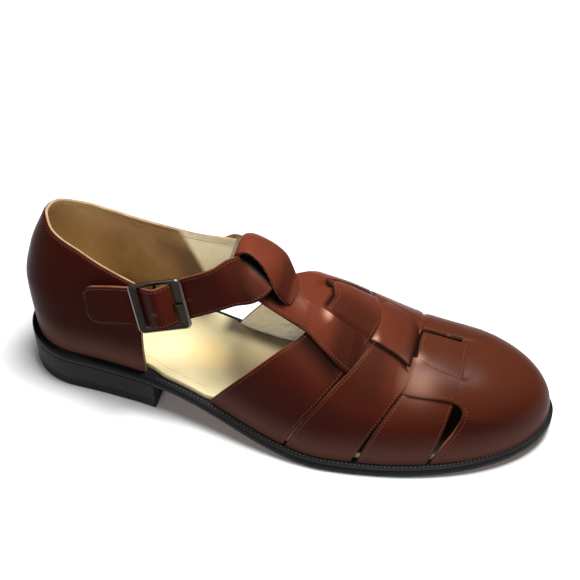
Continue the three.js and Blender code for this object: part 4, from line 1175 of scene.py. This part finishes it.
vamp_sheets, vamp_rows = [], []
for sheet, rows in (
    toe_cap(), band("a"), band("b"), band("c"),
    finger("outer", "outer_slit", 0, SLIT_HALF, side_lift, [("outer", FINGER_ROW_INSET)]),
    finger("centre_outer", "centre_inner", SLIT_HALF, SLIT_HALF, centre_lift, []),
    finger("inner_slit", "inner", SLIT_HALF, 0, side_lift, [("inner", -FINGER_ROW_INSET)]),
    centre_bar(), fold_loop(),
):
    vamp_sheets.append(sheet)
    vamp_rows += rows
vamp = make_piece("vamp_weave", vamp_sheets, [calf_brown, lining_leather, cut_edge], UPPER_CREASE)
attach(vamp, "root")
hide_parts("vamp")
sew("vamp_stitches", vamp_rows, upper_thread)

# Quarter
# The closed heel of the upper, one wrap of the same calf leather with a soft leather lining.
# Lining and outside are sewn together along the topline, where the pale cut edge shows.
COUNTER_INSET = 3.5
COUNTER_REACH = 105.0
COUNTER_THICK = 2.4
COUNTER_OUTER_FRONT = -0.855
COUNTER_INNER_FRONT = 0.965
INNER_FRONT_SLANT = 0.12
BACK_FADE = 70.0
LEAN_BASE = 32.0
COUNTER_LEAN = {
    "height": [0, 15, 35, 55, 75, 100],
    "back": [0, -0.6, -1.4, 3.2, 12.4, 27],
    "outer": [0, 0.45, -1.7, -7, -14, -20],
    "inner": [0, 0.45, -0.8, -3.9, -9, -14],
}
TOPLINE = {
    "round": [-0.855, -0.71, -0.535, -0.315, -0.13, 0.06, 0.175, 0.435, 0.63, 0.815, 0.93, 1.09],
    "top": [81.8, 88.3, 96, 101, 105.2, 105.6, 103.8, 94.8, 89.6, 87, 87.2, 91.5],
}
PUCKER = {"depth": 1.5, "waves": 70, "spread": 0.34, "rise": 0.88, "height": 0.07}
QUARTER_STATIONS = 150
QUARTER_FOOT = -0.006
QUARTER_ROWS = (0, 0.95, 30)
TOP_ROWS = [0.97, 0.985, 0.995, 1.0]
TOP_SOFT = 0.7
FRONT_SOFT = 0.6
FRONT_REACH = 0.012
LINING_TAPER = 0.4
FACING_FROM = 0.6
HIGH_STEP = 0.5
ROUND_STEP = 0.005

lean_back = curve(COUNTER_LEAN, "height", "back")
lean_outer = curve(COUNTER_LEAN, "height", "outer")
lean_inner = curve(COUNTER_LEAN, "height", "inner")
topline = curve(TOPLINE, "round", "top")


def counter_along(around):
    """How far forward of the heel's back a place round the quarter lies."""
    return COUNTER_INSET + (COUNTER_REACH - COUNTER_INSET) * around * around


def counter_point(around, high):
    """A place on the quarter's face: around is 0 at the back, -1 on the outer and 1 on the inner side."""
    around, high = np.broadcast_arrays(np.asarray(around, float), np.asarray(high, float))
    along = counter_along(around)
    height = np.maximum(high - underside(along) - FEATHER_RISE, 0)
    fade = 1 - np.clip(along / BACK_FADE, 0, 1)
    back = lean_back(height) * fade * fade * (3 - 2 * fade)
    lean = 1 + np.where(around < 0, lean_outer(height), lean_inner(height)) / LEAN_BASE
    outer, inner = -half_width(along, True, COUNTER_INSET), half_width(along, False, COUNTER_INSET)
    return np.stack([along + back, np.where(around < 0, outer, inner) * lean, high], -1)


def counter_rise(around, high):
    """The direction straight up the quarter's face."""
    return unit(counter_point(around, high + HIGH_STEP) - counter_point(around, high - HIGH_STEP))


def counter_normal(around, high):
    """The direction straight out of the quarter's face."""
    forward = counter_point(around + ROUND_STEP, high) - counter_point(around - ROUND_STEP, high)
    return unit(np.cross(counter_rise(around, high), forward))


def quarter_grid(around, t, depth):
    """Places on the quarter at a depth below its face; the inner front edge slants forward toward the top."""
    around = around * (1 + INNER_FRONT_SLANT * np.maximum(t, 0) * np.clip(2 * around - 1, 0, 1))
    foot = underside(counter_along(around)) + FEATHER_RISE
    high = foot + (topline(around) - foot) * t
    facing = counter_normal(around, np.maximum(high, foot + FACING_FROM))
    return counter_point(around, high) - facing * np.asarray(depth)[..., None], facing


quarter_t = np.concatenate([[QUARTER_FOOT], np.linspace(*QUARTER_ROWS), TOP_ROWS])
quarter_around = np.linspace(COUNTER_OUTER_FRONT, COUNTER_INNER_FRONT, QUARTER_STATIONS)[:, None]
top_edge = np.clip((quarter_t - TOP_ROWS[0]) / (1 - TOP_ROWS[0]), 0, 1)
from_front = np.minimum(quarter_around - COUNTER_OUTER_FRONT, COUNTER_INNER_FRONT - quarter_around)
front_edge = np.clip(1 - from_front / FRONT_REACH, 0, 1)
edge_fall = TOP_SOFT * top_edge ** 2 + FRONT_SOFT * front_edge ** 2
outer_face, _ = quarter_grid(quarter_around, quarter_t, edge_fall)
waves = np.maximum(np.sin(quarter_around * PUCKER["waves"]), 0)
at_back = np.exp(-(quarter_around / PUCKER["spread"]) ** 2)
near_top = np.exp(-((quarter_t - PUCKER["rise"]) / PUCKER["height"]) ** 2)
pucker = PUCKER["depth"] * waves * at_back * near_top
inner_face, _ = quarter_grid(quarter_around, quarter_t, COUNTER_THICK - LINING_TAPER * top_edge + pucker)
pale_edge = hide("topline_edge_pale", (0.15, 0.10, 0.052), (0.25, 0.18, 0.10),
                 gloss=0.6, grain=0.0006, relief=0.3, patch=0.01, shine=0.1)
quarter_shell = shell(outer_face, inner_face)
quarter = make_piece("quarter_wrap", [quarter_shell], [calf_brown, lining_leather, pale_edge], UPPER_CREASE)
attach(quarter, "root")
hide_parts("quarter")

TOP_ROW = 0.978
TOP_ROW_END = 0.015
TOP_ROW_STATIONS = 300
FRONT_ROW = (0.05, 0.965, 60)
FRONT_ROW_INSET = 0.013
LINING_ROW = 0.945
QUARTER_THREAD_OUT = 0.08
LINING_THREAD_OUT = 0.1


def quarter_row(around, t, depth):
    """A row of places at one depth, with the outward directions there."""
    return quarter_grid(around, t, np.full(np.broadcast(around, t).shape, depth))


top_run = np.linspace(COUNTER_OUTER_FRONT + TOP_ROW_END, COUNTER_INNER_FRONT - TOP_ROW_END, TOP_ROW_STATIONS)
front_run = np.linspace(*FRONT_ROW)
quarter_rows = [
    quarter_row(top_run, TOP_ROW, -QUARTER_THREAD_OUT),
    quarter_row(COUNTER_OUTER_FRONT + FRONT_ROW_INSET, front_run, -QUARTER_THREAD_OUT),
    quarter_row(COUNTER_INNER_FRONT - FRONT_ROW_INSET, front_run, -QUARTER_THREAD_OUT),
]
quarter_thread = thread_finish("quarter_thread_brown", (0.034, 0.009, 0.0045), (0.062, 0.019, 0.009))
sew("quarter_stitches", quarter_rows, quarter_thread)
lining_thread = thread_finish("lining_thread_cream", (0.30, 0.20, 0.09), (0.46, 0.33, 0.17))
lining_line, lining_out = quarter_row(top_run, LINING_ROW, COUNTER_THICK + LINING_THREAD_OUT)
lining_row = lining_line, -lining_out
sew("lining_stitches", [lining_row], lining_thread, step=1.5, length=1.3, width=0.5, height=0.4)

# Buckle
# A square gunmetal frame with a round centre bar, cast in one and brushed, and a bent wire prong on the bar.
# It is held by the tab and fastened, with the strap threaded under both side bars and over the centre.
BUCKLE_CENTRE = np.array([90.3, -32.0, 77.4])
BUCKLE_RUN = unit(np.array([0.96, 0.15, 0.235]))
RISE_HINT = np.array([-0.2, 0.29, 0.93])
FRAME_LONG = 29.5
FRAME_HIGH = 29.0
FRAME_CORNER = 3.0
LEFT_BAR_WIDER = 1.3
RIGHT_BAR_WIDER = 1.6
TOP_BAR_THINNER = 0.62
LOW_BAR_THINNER = 1.05
FRAME_SECTION = {
    "inset": [0, 0, 0.7, 3.1, 3.7, 3.7, 3.1, 0.5],
    "out": [-0.5, 0.4, 1.0, 0.75, 0.3, -0.5, -1.0, -1.0],
}
CENTRE_BAR_R = 1.1
PRONG_R = 0.7
PRONG_PATH = {
    "run": [0.6, -0.79, -1.88, -2.3, -1.88, -0.79, 0.6, 2, 4.5, 6.6, 8, 9.3, 10.5, 12.4],
    "out": [-2.22, -2.16, -1.32, 0, 1.32, 2.16, 2.3, 2.6, 1.9, 0.9, 1, 1.7, 1.85, 1.75],
}
INNER_CORNER = 0.9
CORNER_STATIONS = 9
TUBE_STATIONS = 17
TUBE_HINT = (0.31, 0.2, 1.0)
CENTRE_BAR_SHORT = 2.2
CENTRE_BAR_STATIONS = 7
PRONG_TAPER = 0.35
PRONG_TAPER_FROM = 0.85
PRONG_PER_SPAN = 8
FRAME_CREASE = 28

BUCKLE_RISE = unit(RISE_HINT - BUCKLE_RUN * (RISE_HINT @ BUCKLE_RUN))
BUCKLE_OUT = unit(np.cross(BUCKLE_RUN, BUCKLE_RISE))
BUCKLE_AXES = np.stack([BUCKLE_RUN, BUCKLE_RISE, BUCKLE_OUT])


def in_buckle(run, rise, out):
    """A place given along the strap, up the frame and outward from the buckle's middle."""
    offsets = np.stack(np.broadcast_arrays(run, rise, out), -1)
    return BUCKLE_CENTRE + offsets @ BUCKLE_AXES


def square_loop(inset, out):
    """A square with rounded corners in the buckle's plane."""
    corner = max(FRAME_CORNER - inset, INNER_CORNER)
    angles = np.linspace(0, np.pi / 2, CORNER_STATIONS)
    loop = []
    for quarter_turn, (sx, sy) in enumerate(((1, 1), (-1, 1), (-1, -1), (1, -1))):
        turn = angles + quarter_turn * np.pi / 2
        cx = sx * (FRAME_LONG / 2 - inset * (RIGHT_BAR_WIDER if sx > 0 else LEFT_BAR_WIDER) - corner)
        cy = sy * (FRAME_HIGH / 2 - inset * (TOP_BAR_THINNER if sy > 0 else LOW_BAR_THINNER) - corner)
        loop.append(in_buckle(cx + corner * np.cos(turn), cy + corner * np.sin(turn), out))
    return np.concatenate(loop)


def tube(path, radius):
    """A round bar along a path; radius may differ at each place."""
    radius = np.broadcast_to(radius, len(path))[:, None, None]
    run = unit(np.gradient(path, axis=0))
    side = unit(np.cross(run, TUBE_HINT @ BUCKLE_AXES))
    other = np.cross(run, side)
    angle = np.linspace(0, 2 * np.pi, TUBE_STATIONS)[None, :, None]
    grid = path[:, None] + radius * (side[:, None] * np.cos(angle) + other[:, None] * np.sin(angle))
    caps = []
    for k in (0, -1):
        middle = np.broadcast_to(path[k], (1, TUBE_STATIONS, 3))
        caps.append((np.concatenate([grid[k][None], middle]), 0))
    return gather([(grid, 0)] + caps)


def metal_finish(name, deep, bright, streak, detail, stretch, gloss, gloss_range):
    """Oxidised metal, brushed or rubbed, lighter and less glossy in its streaks."""
    material, shader, bare = new_finish(name, {"Metallic": 1.0, "Specular IOR Level": 0.5})
    brush = spots(bare, streak, detail, stretch)
    lead(brush.blend((*deep, 1), (*bright, 1)), shader, "Base Color")
    lead(brush * gloss_range + gloss, shader, "Roughness")
    return material


gunmetal = metal_finish("buckle_gunmetal", (0.018, 0.0145, 0.011), (0.045, 0.038, 0.031),
                        streak=0.0012, detail=3.0, stretch=(1, 9, 9), gloss=0.26, gloss_range=0.22)
worn_metal = metal_finish("buckle_worn_edge", (0.09, 0.078, 0.065), (0.24, 0.21, 0.18),
                          streak=0.0015, detail=2.0, stretch=(1, 1, 1), gloss=0.25, gloss_range=0.2)
frame_loops = [square_loop(inset, out) for inset, out in zip(*FRAME_SECTION.values())]
frame_shell = ring(frame_loops)
loop_size = len(frame_loops[0])
frame_shell[2][loop_size:2 * loop_size] = 1
bar_run = np.linspace(-1, 1, CENTRE_BAR_STATIONS) * (FRAME_HIGH / 2 - CENTRE_BAR_SHORT)
bar_path = in_buckle(0.0, bar_run, 0.0)
bar_shell = tube(bar_path, CENTRE_BAR_R)
buckle_frame = make_piece("buckle_square", [frame_shell, bar_shell], [gunmetal, worn_metal], FRAME_CREASE)
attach(buckle_frame, "root")
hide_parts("buckle_frame")

prong_line = flowing(np.stack(list(PRONG_PATH.values()), -1), PRONG_PER_SPAN)
prong_path = in_buckle(prong_line[:, 0], 0.0, prong_line[:, 1])
near_point = step_up(np.linspace(0, 1, len(prong_path)), PRONG_TAPER_FROM, 1)
prong_radius = PRONG_R * (1 - PRONG_TAPER * near_point)
prong = make_piece("buckle_prong_wire", [tube(prong_path, prong_radius)], [gunmetal])
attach(prong, "root")
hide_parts("buckle_prong")

# Ankle strap and buckle tab
# A long strap of calf leather from the inner side of the quarter through the loop and the buckle,
# with a rounded free end that lies on the quarter.
# The short tab under it is sewn to the quarter and holds the buckle.
ANKLE_WIDTH = 19.5
ANKLE_THICK = 2.0
ANKLE_TIP = 9.5
ANKLE_TIP_POWER = 2.4
ANKLE_TIP_BLUNT = 0.15
ANKLE_COLUMNS = 64
ANKLE_PER_SPAN = 16
UNDER_BAR = -2.5
OVER_BAR = 4.7
# Punched holes are painted as dark discs of shade with a painted highlight round the rim.
HOLE_R = 0.55
HOLE_RIM = 1.7
HOLE_RIM_HIGHLIGHT = -0.35
TAB_WIDTH = 16.0
TAB_THICK = 1.4
TAB_PER_SPAN = 6
STRAP_ON_QUARTER = [(-0.65, 66.2, 2.4), (-0.705, 67.8, 3.5), (-0.765, 70, 4)]
STRAP_IN_BUCKLE = [(-15, UNDER_BAR, 0.6), (-10.8, UNDER_BAR, 0.5), (-5.5, 1.4, 0.4), (0, OVER_BAR, 0.4),
                   (5.5, 1.4, 0.5), (10.8, UNDER_BAR, 0.9), (15, UNDER_BAR, 1.6)]
STRAP_HOLES = [(5.75, -2.6), (9.12, -0.8)]
STRAP_ON_VAMP = [(136.8, -0.189, 4.4), (139.8, 0, 3), (139.5, 0.25, 2)]
STRAP_ON_INSIDE = [(1.03, 75.6, 1.6), (0.93, 72.8, 1.5), (0.84, 71.5, 1.5), (0.76, 70.5, 1.5)]
OUTER_SPAN = [((121.8, -26.6, 91.9), (-0.6, 0.22, 0.76)), ((129.9, -24.3, 96.1), (-0.65, 0.2, 0.73))]
INNER_SPAN = [((122.5, 20.3, 81.5), (-0.5, -0.28, 0.82))]
OUTER_WIDEN = 0.17
OUTER_WIDEN_TO = (135, 142)
LOOP_WIDEN = 0.15
LOOP_WIDEN_SPAN = (10.1, 11.2, 12.1, 12.7)
# Painted shade on the strap near the loop and in its shadow under it.
NEAR_LOOP = (10.6, 11.5)
NEAR_LOOP_SHADE = 0.45
LOOP_ENTRY = (11.95, 12.25)
LOOP_EXIT = (13.35, 13.75)
STRAP_THREAD_OUT = 0.1
TIP_ROW_STATIONS = 12
FACE_DROP = 0.8
BACK_DROP = 0.4
TAB_ON_QUARTER = [(-0.7, 67, 1.3), (-0.74, 68.2, 1.4), (-0.78, 69.5, 1.4), (-0.81, 70.6, 1.6)]
TAB_IN_BUCKLE = [(-8.5, -4.4), (-5.5, -3.9), (-2.6, -2.8), (0.54, -2.03), (1.61, -1.35), (2.09, -0.18),
                 (1.82, 1.05), (0.89, 1.9), (-0.36, 2.07), (-1.48, 1.48), (-1.97, 0.72)]


def counter_spot(around, high, off):
    """A place of a strap off the quarter's face, with the direction of its width."""
    at = counter_point(around, high) + counter_normal(around, high) * off
    return np.concatenate([at, counter_rise(around, high)])


def vamp_spot(along, around, lift):
    """A place of the strap over the vamp, with the direction of its width."""
    rise = unit(vamp_point(along - 1, around) - vamp_point(along + 1, around))
    return np.concatenate([on_vamp(along, around, lift), rise])


def buckle_spot(run, out, rise=0):
    """A place of a strap in the buckle, with the direction of its width."""
    return np.concatenate([in_buckle(run, rise, out), BUCKLE_RISE])


def free_spot(at, rise):
    """A place where the strap hangs free, with the direction of its width."""
    return np.concatenate([at, unit(np.array(rise))])


def ribbon(path, rise, width, thick, shade=lambda across_mm: 0.0, count=12):
    """A strap along a path, with the direction of its width; returns its shell and a place finder."""
    run = unit(np.gradient(path, axis=0))
    rise = unit(rise - run * np.sum(rise * run, -1, keepdims=True))
    out = unit(np.cross(run, rise))
    t, drop = across(np.max(width), count)
    lift = (t - 0.5)[None, :, None] * width[:, None, None] * rise[:, None]
    outer = path[:, None] + lift + out[:, None] * (thick / 2 - FACE_DROP * drop + crown(t))[None, :, None]
    inner = path[:, None] + lift - out[:, None] * (thick / 2 - BACK_DROP * drop)[None, :, None]

    def place(k, across_mm, off):
        return path[k] + rise[k] * across_mm[:, None] + out[k] * (thick / 2 + off), out[k]
    return shell(outer, inner, shade((t - 0.5) * width[:, None])), place


strap_spots = [counter_spot(*spot) for spot in STRAP_ON_QUARTER]
strap_spots += [buckle_spot(*spot) for spot in STRAP_IN_BUCKLE]
strap_spots += [free_spot(*spot) for spot in OUTER_SPAN]
strap_spots += [vamp_spot(*spot) for spot in STRAP_ON_VAMP]
strap_spots += [free_spot(*spot) for spot in INNER_SPAN]
strap_spots += [counter_spot(*spot) for spot in STRAP_ON_INSIDE]
strap_flow = flowing(strap_spots, ANKLE_PER_SPAN)
strap_path, strap_rise = strap_flow[:, :3], strap_flow[:, 3:]
steps = np.arange(len(strap_path))
span = steps / ANKLE_PER_SPAN
gone = np.concatenate([[0], np.cumsum(np.linalg.norm(np.diff(strap_path, axis=0), axis=1))])
from_end = np.minimum(gone, gone[-1] - gone)
tip_inset = 1 - np.clip((from_end + ANKLE_TIP_BLUNT) / ANKLE_TIP, 0, 1)
rounded = (1 - tip_inset ** ANKLE_TIP_POWER) ** (1 / ANKLE_TIP_POWER)
on_outer = step_down(strap_path[:, 0], *OUTER_WIDEN_TO) * (strap_path[:, 1] < 0)
by_loop = window(span, *LOOP_WIDEN_SPAN)
strap_width = ANKLE_WIDTH * rounded * (1 + OUTER_WIDEN * on_outer + LOOP_WIDEN * by_loop)


def strap_shade(across_mm):
    """Painted shade near and inside the loop, and punched holes painted as dark discs with a painted
    highlight on the rim.
    """
    near = NEAR_LOOP_SHADE * step_up(span, *NEAR_LOOP)
    dark = np.maximum(near, step_up(span, *LOOP_ENTRY)) * step_down(span, *LOOP_EXIT)
    dark = dark[:, None] + 0 * across_mm
    for spot, aside in STRAP_HOLES:
        away = np.hypot(gone[:, None] - np.interp(spot, span, gone), across_mm - aside)
        dark = np.where(away < HOLE_R, 1, np.where(away < HOLE_RIM * HOLE_R, HOLE_RIM_HIGHLIGHT, dark))
    return dark


strap_shell, strap_place = ribbon(strap_path, strap_rise, strap_width, ANKLE_THICK,
                                  strap_shade, ANKLE_COLUMNS)
strap = make_piece("ankle_strap_leather", [strap_shell], [calf_brown, lining_leather, cut_edge], UPPER_CREASE)
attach(strap, "root")
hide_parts("ankle_strap")

row_half = np.maximum(strap_width / 2 - STITCH_INSET, 0.0)
sewn = steps[(gone > STITCH_INSET) & (gone < gone[-1] - STITCH_INSET)]
strap_rows = [strap_place(sewn, side * row_half[sewn], STRAP_THREAD_OUT) for side in (-1, 1)]
tip_row = np.linspace(-row_half[sewn[0]], row_half[sewn[0]], TIP_ROW_STATIONS)
strap_rows.append(strap_place(np.full(TIP_ROW_STATIONS, sewn[0]), tip_row, STRAP_THREAD_OUT))
sew("ankle_strap_stitches", strap_rows, upper_thread)

tab_spots = [counter_spot(*spot) for spot in TAB_ON_QUARTER]
tab_spots = np.array(tab_spots + [buckle_spot(*spot) for spot in TAB_IN_BUCKLE])
tab_path = flowing(tab_spots[:, :3], TAB_PER_SPAN)
tab_span = np.arange(len(tab_path)) / TAB_PER_SPAN
tab_rise = np.stack([np.interp(tab_span, np.arange(len(tab_spots)), tab_spots[:, k]) for k in (3, 4, 5)], -1)
tab_shell, _ = ribbon(tab_path, tab_rise, np.full(len(tab_path), TAB_WIDTH), TAB_THICK)
tab = make_piece("buckle_tab_leather", [tab_shell], [calf_brown, lining_leather, cut_edge], UPPER_CREASE)
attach(tab, "root")
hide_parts("buckle_tab")

# Floor, light and camera
# A plain white studio floor of matt paper, lit by a large soft box overhead and a weaker fill from the front.
# The camera stands at the photograph's angle.
FLOOR_HALF = 4.0
FLOOR_LEVEL = -2e-4
FLOOR_PATCH = 0.4
FLOOR_PATCH_DETAIL = 2.0
AIR_LIGHT = 0.1
AIMED_AT = Vector((0, 0, 0.05))

matt = {"Roughness": 0.9, "Specular IOR Level": 0.1}
floor_white, floor_shader, floor_tone = new_finish("studio_floor", matt)
paper = spots(floor_tone, FLOOR_PATCH, FLOOR_PATCH_DETAIL)
lead(paper.blend((0.44, 0.44, 0.44, 1), (0.46, 0.46, 0.46, 1)), floor_shader, "Base Color")
floor_signs = (-1, -1), (1, -1), (1, 1), (-1, 1)
floor_corners = [(FLOOR_HALF * sx, FLOOR_HALF * sy, FLOOR_LEVEL) for sx, sy in floor_signs]
floor_mesh = bpy.data.meshes.new("studio_floor")
floor_mesh.from_pydata(floor_corners, [], [(0, 1, 2, 3)])
floor_mesh.materials.append(floor_white)
floor = add_object("studio_floor", floor_mesh)

world = bpy.data.worlds.new("studio_air")
world.use_nodes = True
world.node_tree.nodes["Background"].inputs["Color"].default_value = (1, 1, 1, 1)
world.node_tree.nodes["Background"].inputs["Strength"].default_value = AIR_LIGHT
bpy.context.scene.world = world
bpy.context.scene.view_settings.view_transform = "Standard"


def soft_box(name, place, size, power):
    """A square soft light aimed at the middle of the shoe."""
    lamp = bpy.data.lights.new(name, "AREA")
    lamp.shape = "SQUARE"
    lamp.size = size
    lamp.energy = power
    light = add_object(name, lamp)
    light.location = place
    light.rotation_euler = (AIMED_AT - Vector(place)).to_track_quat("-Z", "Y").to_euler()


soft_box("overhead_box", (0.2, 0.15, 1.28), size=0.6, power=54)
soft_box("front_card", (-0.1, -1.0, 0.75), size=0.6, power=6)

VIEW_AZIMUTH = math.radians(14.72)
VIEW_ELEVATION = math.radians(44.78)
VIEW_ROLL = math.radians(-1.11)
VIEW_DISTANCE = 0.682
VIEW_TARGET = Vector((0.00253, 0.00768, 0.07235))
LENS = 79.14
SENSOR = 36
NEAREST = 0.01

flat = math.cos(VIEW_ELEVATION)
back = Vector((math.sin(VIEW_AZIMUTH) * flat, -math.cos(VIEW_AZIMUTH) * flat, math.sin(VIEW_ELEVATION)))
right = (-back).cross(Vector((0, 0, 1))).normalized()
up = back.cross(right)
turned_right = right * math.cos(VIEW_ROLL) + up * math.sin(VIEW_ROLL)
turned_up = up * math.cos(VIEW_ROLL) - right * math.sin(VIEW_ROLL)
camera_data = bpy.data.cameras.new("photo_camera")
camera_data.lens = LENS
camera_data.sensor_width = SENSOR
camera_data.clip_start = NEAREST
camera = add_object("photo_camera", camera_data)
axes = Matrix((turned_right, turned_up, back)).transposed().to_4x4()
camera.matrix_world = Matrix.Translation(VIEW_TARGET + back * VIEW_DISTANCE) @ axes
bpy.context.scene.camera = camera
